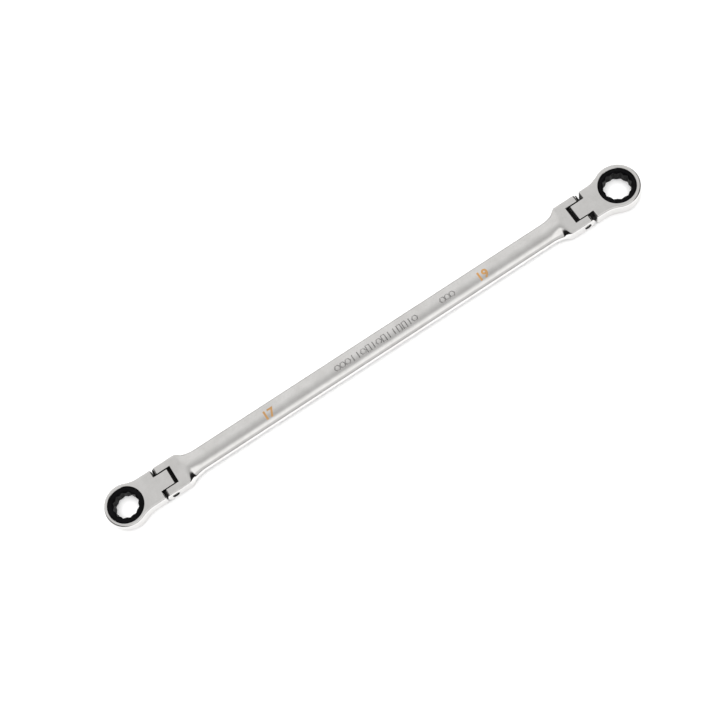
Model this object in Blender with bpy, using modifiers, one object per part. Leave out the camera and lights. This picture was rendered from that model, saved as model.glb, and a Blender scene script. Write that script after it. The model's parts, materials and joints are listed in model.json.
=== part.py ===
"""Double-ended ratcheting box wrench with a flex joint behind each head.

The wrench lies along X with its 17 mm head at -X and its 19 mm head at +X. Each
end is modelled in its own frame: the origin is the middle of the nut opening,
local +X points along the neck towards the handle, and Z is the opening's axis.
"""

import math
from typing import NamedTuple

import bmesh
import bpy

MM = 0.001


class End(NamedTuple):
    """The driving sizes that differ between the two ends."""

    name: str
    across_flats: float
    head_radius: float
    head_thickness: float
    bore_radius: float
    neck_blend: float
    shoulder: float
    nose_radius: float
    opening_turn: float
    facing: float


SMALL = End(
    name="small",
    across_flats=17.0 * MM,
    head_radius=16.1 * MM,
    head_thickness=10.8 * MM,
    bore_radius=13.4 * MM,
    neck_blend=22.0 * MM,
    shoulder=27.2 * MM,
    nose_radius=6.3 * MM,
    opening_turn=19.5,
    facing=0.0,
)
LARGE = End(
    name="large",
    across_flats=19.0 * MM,
    head_radius=17.2 * MM,
    head_thickness=11.8 * MM,
    bore_radius=13.9 * MM,
    neck_blend=24.0 * MM,
    shoulder=25.8 * MM,
    nose_radius=6.6 * MM,
    opening_turn=12.0,
    facing=180.0,
)
ENDS = (SMALL, LARGE)

# Layout along the wrench, measured from the middle of an opening.
CENTRE_DISTANCE = 420.0 * MM
SLOT_MOUTH = 24.0 * MM
PIN_AXIS = 33.8 * MM
SLOT_BOTTOM = 40.3 * MM
FORK_REAR = 46.5 * MM
NARROWING_END = 61.0 * MM
NARROWING_POWER = 0.72
THINNING_START = 47.5 * MM
THINNING_END = 61.0 * MM
PLAIN_BAR_START = 64.0 * MM
REAR_SPACING = 1.5 * MM

# Widths are half widths across Y.
NECK_HALF = 12.5 * MM
SLOT_HALF = 6.9 * MM
TONGUE_HALF = 6.1 * MM
BAR_HALF = 9.1 * MM
BAR_HALF_THICK = 4.2 * MM
FORK_EDGE = 1.0 * MM
BAR_EDGE = 5.0 * MM
CORNER_SHARE = 0.98
SLOT_CORNER = 1.0 * MM

RIM_ROUNDING = 1.1 * MM
TONGUE_STEP = 0.2 * MM
TONGUE_ROOT = 21.0 * MM
TONGUE_RADIUS = 6.2 * MM
FIT = 0.3 * MM
CUT_MARGIN = 2.0 * MM

# Flex pin and its friction washers.
PIN_RADIUS = 2.35 * MM
PIN_RECESS = 0.9 * MM
PIN_CHAMFER = 0.4 * MM
WASHER_RADIUS = 4.4 * MM
WASHER_THICKNESS = 0.25 * MM

# Drive gear: a toothed band between two plain lips.
TEETH = 60
TOOTH_DEPTH = 0.8 * MM
TOOTH_RAMP = 0.8
TIP_BELOW_LIP = 0.1 * MM
BAND_HALF = 3.25 * MM
GEAR_RECESS = 0.2 * MM
ENTRY_CHAMFER = 0.5 * MM
ENTRY_WAIST = 0.5 * MM
BLANK_UNDERSIZE = 1.0 * MM
LIP_CHAMFER = 0.25 * MM
OPENING_POINTS = 12

# Snap ring in the lower lip, and its grooves.
SNAP_HEIGHT = 0.4 * MM
SNAP_LEVEL = -4.25 * MM
SNAP_WIDTH = 1.5 * MM
SNAP_GAP = 40.0
GROOVE_HEIGHT = 1.0 * MM
GROOVE_DEPTH = 0.9 * MM

# Two stacked pawls, half a tooth apart, each with a coil spring behind it.
PAWL_REACH = 3
PAWL_HALF = 4.0 * MM
PAWL_LEVEL = 1.6 * MM
PAWL_HALF_HEIGHT = 1.4 * MM
PAWL_BACK = 4.8 * MM
PAWL_CLEARANCE = 0.25 * MM
PAWL_CORNER = 0.6 * MM
POCKET_BACK = 5.9 * MM
POCKET_HALF = 4.4 * MM
SPRING_LEVEL = 1.65 * MM
SPRING_HOLE = 1.5 * MM
SPRING_HOLE_END = 24.6 * MM
SPRING_RADIUS = 1.0 * MM
SPRING_WIRE = 0.18 * MM
SPRING_TURNS = 4
SPRING_POINTS_PER_TURN = 9

ROUND_STEPS = 48
FINE_STEPS = 24
ARC_STEPS = 6
KNUCKLE_STEPS = 14
CORNER_STEPS = 5
TIP_STEPS = 5
TIP_TURN = 82.0
HOLE_STEPS = 20
MERGE = 0.00001
SMOOTH_ANGLE = math.radians(35.0)

SATIN_STEEL = ("satin_chrome", (0.62, 0.61, 0.59, 1.0), 0.32, 1.0)
BLACK_STEEL = ("black_oxide", (0.018, 0.018, 0.02, 1.0), 0.38, 0.7)
BRIGHT_STEEL = ("ground_steel", (0.5, 0.5, 0.49, 1.0), 0.28, 1.0)
SPRING_STEEL = ("spring_steel", (0.34, 0.34, 0.36, 1.0), 0.3, 1.0)
PAWL_STEEL = ("hardened_steel", (0.22, 0.22, 0.23, 1.0), 0.4, 1.0)


def clear_scene():
    """Remove whatever the file already holds."""
    for existing in list(bpy.data.objects):
        bpy.data.objects.remove(existing, do_unlink=True)


def make_collection(name):
    """A new collection linked to the scene."""
    collection = bpy.data.collections.new(name)
    bpy.context.scene.collection.children.link(collection)
    return collection


def make_material(finish):
    """A Principled material from a (name, colour, roughness, metallic) finish."""
    name, colour, roughness, metallic = finish
    material = bpy.data.materials.get(name)
    if material is None:
        material = bpy.data.materials.new(name)
        material.use_nodes = True
        shader = material.node_tree.nodes["Principled BSDF"]
        shader.inputs["Base Color"].default_value = colour
        shader.inputs["Roughness"].default_value = roughness
        shader.inputs["Metallic"].default_value = metallic
    return material


def make_empty(name, collection, location, turn=0.0, parent=None):
    """An empty that carries an end or sits on a joint's axis."""
    empty = bpy.data.objects.new(name, None)
    empty.empty_display_size = 5.0 * MM
    empty.location = location
    empty.rotation_euler = (0.0, 0.0, math.radians(turn))
    empty.parent = parent
    collection.objects.link(empty)
    return empty


def place(obj, collection, parent=None, location=(0.0, 0.0, 0.0), rotation=(0.0, 0.0, 0.0)):
    """Link an object and set where it sits under its parent."""
    obj.parent = parent
    obj.location = location
    obj.rotation_euler = rotation
    collection.objects.link(obj)
    return obj


def finish_piece(obj, finish):
    """Give a piece its material and smooth shading with crisp corners."""
    obj.data.materials.append(make_material(finish))
    obj.data.shade_smooth()
    obj.data.set_sharp_from_angle(angle=SMOOTH_ANGLE)
    return obj


def make_cutter(obj):
    """Mark an object as a cutter, which is drawn as wire and never rendered."""
    obj.hide_render = True
    obj.display_type = "WIRE"
    return obj


def add_boolean(obj, other, operation="DIFFERENCE"):
    """Add a Boolean with another object to a piece."""
    boolean = obj.modifiers.new(f"{operation.lower()}_{other.name}", "BOOLEAN")
    boolean.operation = operation
    boolean.object = other
    return boolean


def add_bevel(obj, width, segments=2):
    """Round the edges that are sharper than a smooth outline's."""
    bevel = obj.modifiers.new("rounded_edges", "BEVEL")
    bevel.width = width
    bevel.segments = segments
    bevel.limit_method = "ANGLE"
    bevel.angle_limit = SMOOTH_ANGLE
    return bevel


def curve_to_mesh_object(name, curve):
    """Turn a curve into a mesh object with its caps welded on."""
    holder = bpy.data.objects.new(f"{name}_curve", curve)
    bpy.context.scene.collection.objects.link(holder)
    graph = bpy.context.evaluated_depsgraph_get()
    mesh = bpy.data.meshes.new_from_object(holder.evaluated_get(graph))
    bpy.data.objects.remove(holder, do_unlink=True)
    bpy.data.curves.remove(curve)
    shape = bmesh.new()
    shape.from_mesh(mesh)
    bmesh.ops.remove_doubles(shape, verts=shape.verts, dist=MERGE)
    bmesh.ops.dissolve_limit(
        shape, angle_limit=math.radians(0.5), verts=shape.verts, edges=shape.edges
    )
    bmesh.ops.recalc_face_normals(shape, faces=shape.faces)
    shape.to_mesh(mesh)
    shape.free()
    mesh.name = name
    return bpy.data.objects.new(name, mesh)


def extruded_outline(name, loops, half_depth):
    """A flat outline of one or more closed loops, extruded both ways along Z."""
    curve = bpy.data.curves.new(name, "CURVE")
    curve.dimensions = "2D"
    curve.fill_mode = "BOTH"
    curve.extrude = half_depth
    for loop in loops:
        spline = curve.splines.new("POLY")
        spline.points.add(len(loop) - 1)
        for point, (x, y) in zip(spline.points, loop):
            point.co = (x, y, 0.0, 1.0)
        spline.use_cyclic_u = True
    return curve_to_mesh_object(name, curve)


def turned(name, profile, steps=ROUND_STEPS, closed=False):
    """A turned piece about Z. The profile at +X runs down its outer side."""
    mesh = bpy.data.meshes.new(name)
    shape = bmesh.new()
    points = [shape.verts.new((radius, 0.0, height)) for radius, height in profile]
    for first, second in zip(points, points[1:]):
        shape.edges.new((first, second))
    if closed:
        shape.edges.new((points[-1], points[0]))
    shape.to_mesh(mesh)
    shape.free()
    obj = bpy.data.objects.new(name, mesh)
    screw = obj.modifiers.new("turned", "SCREW")
    screw.steps = steps
    screw.render_steps = steps
    screw.use_merge_vertices = True
    screw.merge_threshold = MERGE
    screw.use_smooth_shade = True
    return obj


def block(name, low, high):
    """A rectangular block between two corners."""
    mesh = bpy.data.meshes.new(name)
    shape = bmesh.new()
    bmesh.ops.create_cube(shape, size=1.0)
    for vert in shape.verts:
        for axis in range(3):
            vert.co[axis] = low[axis] if vert.co[axis] < 0.0 else high[axis]
    shape.to_mesh(mesh)
    shape.free()
    return bpy.data.objects.new(name, mesh)


def rod(name, radius, length, steps=FINE_STEPS):
    """A plain cylinder about Z."""
    mesh = bpy.data.meshes.new(name)
    shape = bmesh.new()
    bmesh.ops.create_cone(
        shape, cap_ends=True, segments=steps, radius1=radius, radius2=radius, depth=length
    )
    shape.to_mesh(mesh)
    shape.free()
    return bpy.data.objects.new(name, mesh)


def arc(centre, radius, start, stop, steps):
    """Points along an arc, in degrees, both ends included."""
    points = []
    for index in range(steps + 1):
        angle = math.radians(start + (stop - start) * index / steps)
        points.append((centre[0] + radius * math.cos(angle), centre[1] + radius * math.sin(angle)))
    return points


def circle(radius, steps=ROUND_STEPS):
    """A closed circle about the origin."""
    return arc((0.0, 0.0), radius, 0.0, 360.0 - 360.0 / steps, steps - 1)


def mirrored(upper):
    """Close an outline by repeating its upper half below the X axis."""
    lower = [(x, -y) for x, y in reversed(upper) if y > MERGE]
    return upper + lower


def head_outline(end):
    """The head's ring blended into the parallel neck, out to the shoulder."""
    blend_height = NECK_HALF + end.neck_blend
    blend_x = math.sqrt((end.head_radius + end.neck_blend) ** 2 - blend_height ** 2)
    meet = math.degrees(math.atan2(blend_height, blend_x))
    ring = arc((0.0, 0.0), end.head_radius, 180.0, meet, ROUND_STEPS * 2 // 5)
    neck = arc((blend_x, blend_height), end.neck_blend, meet - 180.0, -90.0, ARC_STEPS)
    return mirrored(ring + neck[1:] + [(end.shoulder, NECK_HALF)])


def tongue_half_thickness(end):
    """The tongue lies a small step below the head's face."""
    return end.head_thickness / 2.0 - TONGUE_STEP


def tongue_profile(end):
    """The tongue seen from its side, with its round end about the pin."""
    half = tongue_half_thickness(end)
    turn = math.degrees(math.asin(half / TONGUE_RADIUS))
    knuckle = arc((PIN_AXIS, 0.0), TONGUE_RADIUS, turn, -turn, KNUCKLE_STEPS)
    return [(TONGUE_ROOT, -half), (TONGUE_ROOT, half)] + knuckle


def lip_radius(end):
    """Outer radius of the gear's plain lips."""
    return end.bore_radius - FIT


def tooth_radius(end, part):
    """Radius on a saw tooth, from 0 at its root to 1 back at the next root."""
    tip = lip_radius(end) - TIP_BELOW_LIP
    root = tip - TOOTH_DEPTH
    if part <= TOOTH_RAMP:
        return root + (tip - root) * part / TOOTH_RAMP
    return tip - (tip - root) * (part - TOOTH_RAMP) / (1.0 - TOOTH_RAMP)


def tooth_points(end, first, last, offset=0.0, lift=0.0):
    """Root and tip points of the teeth from one number up to another."""
    pitch = 360.0 / TEETH
    points = []
    for tooth in range(first, last):
        for part in (0.0, TOOTH_RAMP):
            angle = math.radians((tooth + part + offset) * pitch)
            radius = tooth_radius(end, part) + lift
            points.append((radius * math.cos(angle), radius * math.sin(angle)))
    return points


def opening_outline(end):
    """Two hexagons turned 30 degrees apart, as in a 12-point socket."""
    outer = end.across_flats / math.sqrt(3.0)
    inner = end.across_flats / 2.0 / math.cos(math.radians(15.0))
    points = []
    for index in range(2 * OPENING_POINTS):
        radius = inner if index % 2 else outer
        angle = math.radians(end.opening_turn + index * 180.0 / OPENING_POINTS)
        points.append((radius * math.cos(angle), radius * math.sin(angle)))
    return points


def gear_half_height(end):
    """The gear sits a little below both faces of the head."""
    return end.head_thickness / 2.0 - GEAR_RECESS


def gear_profile(end):
    """The gear blank with its snap ring groove, as a closed section."""
    half = gear_half_height(end)
    lip = lip_radius(end)
    inner = end.across_flats / 2.0 - BLANK_UNDERSIZE
    groove_top = SNAP_LEVEL + GROOVE_HEIGHT / 2.0
    groove_bottom = SNAP_LEVEL - GROOVE_HEIGHT / 2.0
    return [
        (inner, half),
        (lip - LIP_CHAMFER, half),
        (lip, half - LIP_CHAMFER),
        (lip, groove_top),
        (lip - GROOVE_DEPTH, groove_top),
        (lip - GROOVE_DEPTH, groove_bottom),
        (lip, groove_bottom),
        (lip, LIP_CHAMFER - half),
        (lip - LIP_CHAMFER, -half),
        (inner, -half),
    ]


def entry_profile(end):
    """The plug that chamfers both ends of the nut opening."""
    half = gear_half_height(end)
    mouth = end.across_flats / math.sqrt(3.0) + ENTRY_CHAMFER
    waist = end.across_flats / 2.0 - ENTRY_WAIST
    slope = mouth - waist
    return [
        (0.0, half + slope),
        (mouth + slope, half + slope),
        (mouth, half),
        (waist, half - slope),
        (waist, slope - half),
        (mouth, -half),
        (mouth + slope, -half - slope),
        (0.0, -half - slope),
    ]


def snap_outline(end):
    """The open snap ring, seen from above."""
    inner = lip_radius(end) - GROOVE_DEPTH + FIT
    outer = inner + SNAP_WIDTH
    start = 180.0 + SNAP_GAP / 2.0
    stop = 540.0 - SNAP_GAP / 2.0
    steps = ROUND_STEPS * 3 // 4
    return arc((0.0, 0.0), outer, start, stop, steps) + arc((0.0, 0.0), inner, stop, start, steps)


def pawl_outline(end, offset, lift):
    """A pawl seen from above, its toothed face towards the gear."""
    last = PAWL_REACH - math.ceil(offset)
    back = end.bore_radius + PAWL_BACK
    teeth = tooth_points(end, -PAWL_REACH, last, offset, PAWL_CLEARANCE + lift)
    front = end.bore_radius + lift
    return teeth[1:] + [
        (front, PAWL_HALF),
        (back - PAWL_CORNER, PAWL_HALF),
        (back, PAWL_HALF - PAWL_CORNER),
        (back, PAWL_CORNER - PAWL_HALF),
        (back - PAWL_CORNER, -PAWL_HALF),
        (front, -PAWL_HALF),
    ]


def slot_outline():
    """The fork's slot seen from above, with small rounds in its corners."""
    centre = (SLOT_BOTTOM - SLOT_CORNER, SLOT_HALF - SLOT_CORNER)
    return mirrored([(SLOT_MOUTH, SLOT_HALF)] + arc(centre, SLOT_CORNER, 90.0, 0.0, 3))


def build_head(end, parts, cutters, flex, opening):
    """The forged head: ring, neck and tongue, and all its bores."""
    head = extruded_outline(
        f"{end.name}_ratchet_head", [head_outline(end)], end.head_thickness / 2.0
    )
    place(head, parts, parent=flex, location=(-PIN_AXIS, 0.0, 0.0))
    finish_piece(head, SATIN_STEEL)
    add_bevel(head, RIM_ROUNDING)
    tongue = extruded_outline(f"{end.name}_tongue", [tongue_profile(end)], TONGUE_HALF)
    place(make_cutter(tongue), cutters, opening, rotation=(math.pi / 2.0, 0.0, 0.0))
    add_boolean(head, tongue, "UNION")
    for cutter in head_bores(end, cutters, opening):
        add_boolean(head, cutter)
    return head


def head_bores(end, cutters, opening):
    """Gear bore, snap ring groove, pawl pocket, spring holes and pin hole."""
    made = []
    bore = rod(f"{end.name}_gear_bore", end.bore_radius, 2.0 * end.head_thickness, ROUND_STEPS)
    made.append(place(make_cutter(bore), cutters, opening))
    groove = rod(
        f"{end.name}_snap_groove", end.bore_radius + GROOVE_DEPTH, GROOVE_HEIGHT, ROUND_STEPS
    )
    made.append(place(make_cutter(groove), cutters, opening, (0.0, 0.0, SNAP_LEVEL)))
    start = end.bore_radius - CUT_MARGIN
    stop = end.bore_radius + POCKET_BACK
    pocket = block(
        f"{end.name}_pawl_pocket", (start, -POCKET_HALF, -BAND_HALF), (stop, POCKET_HALF, BAND_HALF)
    )
    made.append(place(make_cutter(pocket), cutters, opening))
    length = SPRING_HOLE_END - stop + CUT_MARGIN
    for label, level in (("upper", SPRING_LEVEL), ("lower", -SPRING_LEVEL)):
        hole = rod(f"{end.name}_spring_hole_{label}", SPRING_HOLE, length, HOLE_STEPS)
        middle = (SPRING_HOLE_END - length / 2.0, 0.0, level)
        made.append(place(make_cutter(hole), cutters, opening, middle, (0.0, math.pi / 2.0, 0.0)))
    pin_hole = rod(f"{end.name}_tongue_hole", PIN_RADIUS + FIT, 3.0 * TONGUE_HALF)
    middle = (PIN_AXIS, 0.0, 0.0)
    made.append(place(make_cutter(pin_hole), cutters, opening, middle, (math.pi / 2.0, 0.0, 0.0)))
    return made


def build_gear(end, parts, cutters, opening):
    """The 12-point drive gear with its toothed band."""
    gear = turned(f"{end.name}_drive_gear", gear_profile(end), closed=True)
    place(gear, parts, opening)
    finish_piece(gear, BLACK_STEEL)
    points = extruded_outline(
        f"{end.name}_twelve_point", [opening_outline(end)], end.head_thickness
    )
    entry = turned(f"{end.name}_entry_plug", entry_profile(end), FINE_STEPS * 3 // 2)
    teeth = extruded_outline(
        f"{end.name}_tooth_ring",
        [circle(end.bore_radius + CUT_MARGIN), tooth_points(end, 0, TEETH)],
        BAND_HALF,
    )
    for cutter in (points, entry, teeth):
        place(make_cutter(cutter), cutters, opening)
        add_boolean(gear, cutter)
    return gear


def build_snap_ring(end, parts, opening):
    """The open ring that keeps the gear in the head."""
    ring = extruded_outline(f"{end.name}_snap_ring", [snap_outline(end)], SNAP_HEIGHT / 2.0)
    place(ring, parts, opening, (0.0, 0.0, SNAP_LEVEL))
    return finish_piece(ring, SPRING_STEEL)


def build_pawls(end, parts, opening):
    """The stacked pawls: the upper one in mesh, the lower one half a tooth on."""
    half_tooth_lift = TOOTH_DEPTH * 0.5 / TOOTH_RAMP
    for label, level, offset, lift in (
        ("upper", PAWL_LEVEL, 0.0, 0.0),
        ("lower", -PAWL_LEVEL, 0.5, half_tooth_lift),
    ):
        pawl = extruded_outline(
            f"{end.name}_pawl_{label}", [pawl_outline(end, offset, lift)], PAWL_HALF_HEIGHT
        )
        place(pawl, parts, opening, (0.0, 0.0, level))
        finish_piece(pawl, PAWL_STEEL)


def build_pawl_springs(end, parts, opening):
    """A coil spring behind each pawl, in its hole in the neck."""
    start = end.bore_radius + PAWL_BACK + FIT + SPRING_WIRE
    stop = SPRING_HOLE_END - FIT - SPRING_WIRE
    count = SPRING_TURNS * SPRING_POINTS_PER_TURN
    for label, level in (("upper", SPRING_LEVEL), ("lower", -SPRING_LEVEL)):
        name = f"{end.name}_spring_{label}"
        curve = bpy.data.curves.new(name, "CURVE")
        curve.dimensions = "3D"
        curve.bevel_depth = SPRING_WIRE
        curve.bevel_resolution = 2
        curve.use_fill_caps = True
        spline = curve.splines.new("POLY")
        spline.points.add(count)
        for index, point in enumerate(spline.points):
            angle = 2.0 * math.pi * index / SPRING_POINTS_PER_TURN
            along = start + (stop - start) * index / count
            y = SPRING_RADIUS * math.cos(angle)
            z = SPRING_RADIUS * math.sin(angle)
            point.co = (along, y, z, 1.0)
        spring = curve_to_mesh_object(name, curve)
        place(spring, parts, opening, (0.0, 0.0, level))
        finish_piece(spring, SPRING_STEEL)


def build_pin(end, parts, flex):
    """The pressed flex pin, sunk a little below both prongs."""
    half = NECK_HALF - PIN_RECESS
    profile = [
        (0.0, half),
        (PIN_RADIUS - PIN_CHAMFER, half),
        (PIN_RADIUS, half - PIN_CHAMFER),
        (PIN_RADIUS, PIN_CHAMFER - half),
        (PIN_RADIUS - PIN_CHAMFER, -half),
        (0.0, -half),
    ]
    pin = turned(f"{end.name}_flex_pin", profile, FINE_STEPS)
    place(pin, parts, flex, rotation=(math.pi / 2.0, 0.0, 0.0))
    return finish_piece(pin, BRIGHT_STEEL)


def build_washers(end, parts, flex):
    """Friction washers between the tongue and each prong."""
    middle = (TONGUE_HALF + SLOT_HALF) / 2.0
    half = WASHER_THICKNESS / 2.0
    hole = PIN_RADIUS + FIT
    profile = [(hole, half), (WASHER_RADIUS, half), (WASHER_RADIUS, -half), (hole, -half)]
    for label, side in (("left", 1.0), ("right", -1.0)):
        washer = turned(f"{end.name}_washer_{label}", profile, FINE_STEPS, closed=True)
        place(washer, parts, flex, (0.0, side * middle, 0.0), (math.pi / 2.0, 0.0, 0.0))
        finish_piece(washer, SPRING_STEEL)


def smooth_step(part):
    """Run slowly away from 0 and slowly into 1."""
    part = min(max(part, 0.0), 1.0)
    return part * part * (3.0 - 2.0 * part)


def mix(first, second, part):
    """A value between two others."""
    return first + (second - first) * part


def handle_station(end, distance):
    """Half width, half thickness and corner size at a distance from an opening."""
    full = end.head_thickness / 2.0
    narrowed = max((distance - FORK_REAR) / (NARROWING_END - FORK_REAR), 0.0)
    narrow = smooth_step(narrowed ** NARROWING_POWER)
    thin = smooth_step((distance - THINNING_START) / (THINNING_END - THINNING_START))
    thickness = mix(full, BAR_HALF_THICK, thin)
    if distance < PIN_AXIS:
        nose = math.sqrt(max(end.nose_radius ** 2 - (PIN_AXIS - distance) ** 2, 0.0))
        thickness = min(full, nose)
    corner_across = mix(FORK_EDGE, BAR_EDGE, thin)
    corner_up = CORNER_SHARE * min(mix(FORK_EDGE, BAR_HALF_THICK, thin), thickness)
    return mix(NECK_HALF, BAR_HALF, narrow), thickness, corner_across, corner_up


def handle_distances(end):
    """Where the handle's sections lie, from the prong tips to the plain bar."""
    full = end.head_thickness / 2.0
    start, stop = math.radians(TIP_TURN), math.acos(full / end.nose_radius)
    turns = [mix(start, stop, step / TIP_STEPS) for step in range(TIP_STEPS + 1)]
    tips = [PIN_AXIS - end.nose_radius * math.sin(turn) for turn in turns]
    rear_steps = round((THINNING_END - FORK_REAR) / REAR_SPACING) + 1
    rear = [FORK_REAR + step * REAR_SPACING for step in range(rear_steps)]
    return tips + rear + [PLAIN_BAR_START]


def section_points(width, thickness, across, up):
    """A rectangle with elliptical corners, anticlockwise seen along -X."""
    points = []
    for start, side_y, side_z in ((0, 1, 1), (90, -1, 1), (180, -1, -1), (270, 1, -1)):
        for index in range(CORNER_STEPS + 1):
            angle = math.radians(start + 90.0 * index / CORNER_STEPS)
            y = side_y * (width - across) + across * math.cos(angle)
            z = side_z * (thickness - up) + up * math.sin(angle)
            points.append((y, z))
    return points


def loft(name, sections):
    """A closed skin through sections that run along +X."""
    shape = bmesh.new()
    rings = []
    for x, points in sections:
        rings.append([shape.verts.new((x, y, z)) for y, z in points])
    count = len(rings[0])
    for first, second in zip(rings, rings[1:]):
        for index in range(count):
            after = (index + 1) % count
            shape.faces.new((first[index], first[after], second[after], second[index]))
    shape.faces.new(list(reversed(rings[0])))
    shape.faces.new(rings[-1])
    bmesh.ops.recalc_face_normals(shape, faces=shape.faces)
    mesh = bpy.data.meshes.new(name)
    shape.to_mesh(mesh)
    shape.free()
    return bpy.data.objects.new(name, mesh)


def build_handle(parts, cutters, frame, centres, openings):
    """The forged bar with a fork at each end."""
    sections = []
    for distance in handle_distances(SMALL):
        station = handle_station(SMALL, distance)
        sections.append((centres["small"] + distance, section_points(*station)))
    for distance in reversed(handle_distances(LARGE)):
        station = handle_station(LARGE, distance)
        sections.append((centres["large"] - distance, section_points(*station)))
    handle = loft("handle_bar", sections)
    place(handle, parts, frame)
    finish_piece(handle, SATIN_STEEL)
    for end in ENDS:
        slot = extruded_outline(f"{end.name}_slot", [slot_outline()], end.head_thickness)
        place(make_cutter(slot), cutters, openings[end.name])
        add_boolean(handle, slot)
        hole = rod(f"{end.name}_prong_hole", PIN_RADIUS + FIT, 2.0 * NECK_HALF + CUT_MARGIN)
        middle = (PIN_AXIS, 0.0, 0.0)
        turn = (math.pi / 2.0, 0.0, 0.0)
        place(make_cutter(hole), cutters, openings[end.name], middle, turn)
        add_boolean(handle, hole)
    return handle


def build_end(end, parts, cutters, flex, opening):
    """Everything that belongs to one end, apart from the handle's fork."""
    build_head(end, parts, cutters, flex, opening)
    build_gear(end, parts, cutters, opening)
    build_snap_ring(end, parts, opening)
    build_pawls(end, parts, opening)
    build_pawl_springs(end, parts, opening)
    build_pin(end, parts, flex)
    build_washers(end, parts, flex)


def main():
    """Build the wrench, resting on the ground plane and centred on it."""
    clear_scene()
    parts = make_collection("flex_ratchet_wrench")
    cutters = make_collection("cutters")
    middle_height = LARGE.head_thickness / 2.0
    frame = make_empty("wrench_frame", parts, (0.0, 0.0, middle_height))
    small_x = -(CENTRE_DISTANCE + LARGE.head_radius - SMALL.head_radius) / 2.0
    centres = {"small": small_x, "large": small_x + CENTRE_DISTANCE}
    openings = {}
    flexes = {}
    for end in ENDS:
        towards_handle = math.cos(math.radians(end.facing))
        pin_x = centres[end.name] + towards_handle * PIN_AXIS
        flex = make_empty(f"{end.name}_flex_axis", parts, (pin_x, 0.0, 0.0), end.facing, frame)
        flexes[end.name] = flex
        openings[end.name] = make_empty(
            f"{end.name}_gear_axis", parts, (-PIN_AXIS, 0.0, 0.0), 0.0, flex
        )
    for end in ENDS:
        build_end(end, parts, cutters, flexes[end.name], openings[end.name])
    build_handle(parts, cutters, frame, centres, openings)
    bpy.context.view_layer.update()


main()
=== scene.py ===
"""Looks of the double-ended ratcheting box wrench with a flex joint behind each head.

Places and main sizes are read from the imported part, and the finer ones are fields of the
classes below. Each end is shaped in its own frame, whose origin is the middle of the nut
opening at mid height, whose +X runs along the neck towards the handle and whose Z is the
opening's axis, and is then put in place.
"""

import json
import logging
import math
from dataclasses import dataclass
from enum import Enum
from typing import Callable, Sequence

import bmesh
import bpy
from mathutils import Matrix, Vector


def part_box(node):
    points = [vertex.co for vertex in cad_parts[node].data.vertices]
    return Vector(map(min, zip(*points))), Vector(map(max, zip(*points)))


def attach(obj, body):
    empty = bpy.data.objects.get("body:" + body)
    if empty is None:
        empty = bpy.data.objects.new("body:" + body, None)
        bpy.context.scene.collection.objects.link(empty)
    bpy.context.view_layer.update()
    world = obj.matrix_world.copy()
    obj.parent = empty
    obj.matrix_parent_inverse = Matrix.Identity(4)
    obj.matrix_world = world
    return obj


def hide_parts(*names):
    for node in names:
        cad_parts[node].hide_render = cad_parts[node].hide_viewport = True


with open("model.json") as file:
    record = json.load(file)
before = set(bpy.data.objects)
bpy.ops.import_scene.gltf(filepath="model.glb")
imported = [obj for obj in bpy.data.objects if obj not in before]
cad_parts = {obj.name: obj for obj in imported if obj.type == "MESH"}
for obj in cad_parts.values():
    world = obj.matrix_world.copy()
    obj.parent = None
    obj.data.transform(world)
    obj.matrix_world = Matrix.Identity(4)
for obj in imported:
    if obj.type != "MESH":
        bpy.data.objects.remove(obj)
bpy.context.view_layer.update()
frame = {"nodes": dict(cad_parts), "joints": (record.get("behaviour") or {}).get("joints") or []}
LOG = logging.getLogger("flex_wrench")

MM = 0.001
SMOOTH_ANGLE = math.radians(40.0)
WELD = 0.000002
OVER = 1.0 * MM
PIN_HOLE = 2.55 * MM
SIDEWAYS = Matrix.Rotation(math.radians(90.0), 4, "X")
ENDWAYS = Matrix.Rotation(math.radians(90.0), 4, "Y")

Point = tuple[float, float]
Ring = list[Vector]
Colour = tuple[float, float, float, float]


# ---------------------------------------------------------------- outlines


def arc(centre: Point, radius: float, start: float, stop: float, steps: int) -> list[Point]:
    """Points along an arc, both ends included.

    Args:
        centre: The arc's centre.
        radius: The arc's radius.
        start: The first angle in degrees.
        stop: The last angle in degrees.
        steps: The number of chords.

    Returns:
        The points in order.
    """
    points = []
    for index in range(steps + 1):
        angle = math.radians(start + (stop - start) * index / steps)
        points.append((centre[0] + radius * math.cos(angle), centre[1] + radius * math.sin(angle)))
    return points


def mirrored(upper: Sequence[Point]) -> list[Point]:
    """Close an outline by repeating its upper half, in reverse, below the X axis."""
    lower = [(x, -y) for x, y in reversed(upper) if abs(y) > WELD]
    return list(upper) + lower


def inset(outline: Sequence[Point], distance: float) -> list[Point]:
    """Move a closed outline inwards by the same distance all the way round.

    Args:
        outline: A closed outline.
        distance: How far each side moves in.

    Returns:
        The smaller outline, point for point.
    """
    area = sum(a[0] * b[1] - b[0] * a[1] for a, b in zip(outline, list(outline[1:]) + [outline[0]]))
    hand = 1.0 if area > 0.0 else -1.0
    moved = []
    for index, point in enumerate(outline):
        here = Vector(point)
        before = (here - Vector(outline[index - 1])).normalized()
        after = (Vector(outline[(index + 1) % len(outline)]) - here).normalized()
        first = Vector((-before.y, before.x)) * hand
        second = Vector((-after.y, after.x)) * hand
        shift = (first + second) / max(1.0 + first.dot(second), 0.4)
        moved.append((here.x + shift.x * distance, here.y + shift.y * distance))
    return moved


def smooth_step(part: float) -> float:
    """Run slowly away from 0 and slowly into 1."""
    part = min(max(part, 0.0), 1.0)
    return part * part * (3.0 - 2.0 * part)


def mix(first: float, second: float, part: float) -> float:
    """A value between two others."""
    return first + (second - first) * part


# ---------------------------------------------------------------- meshes


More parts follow.
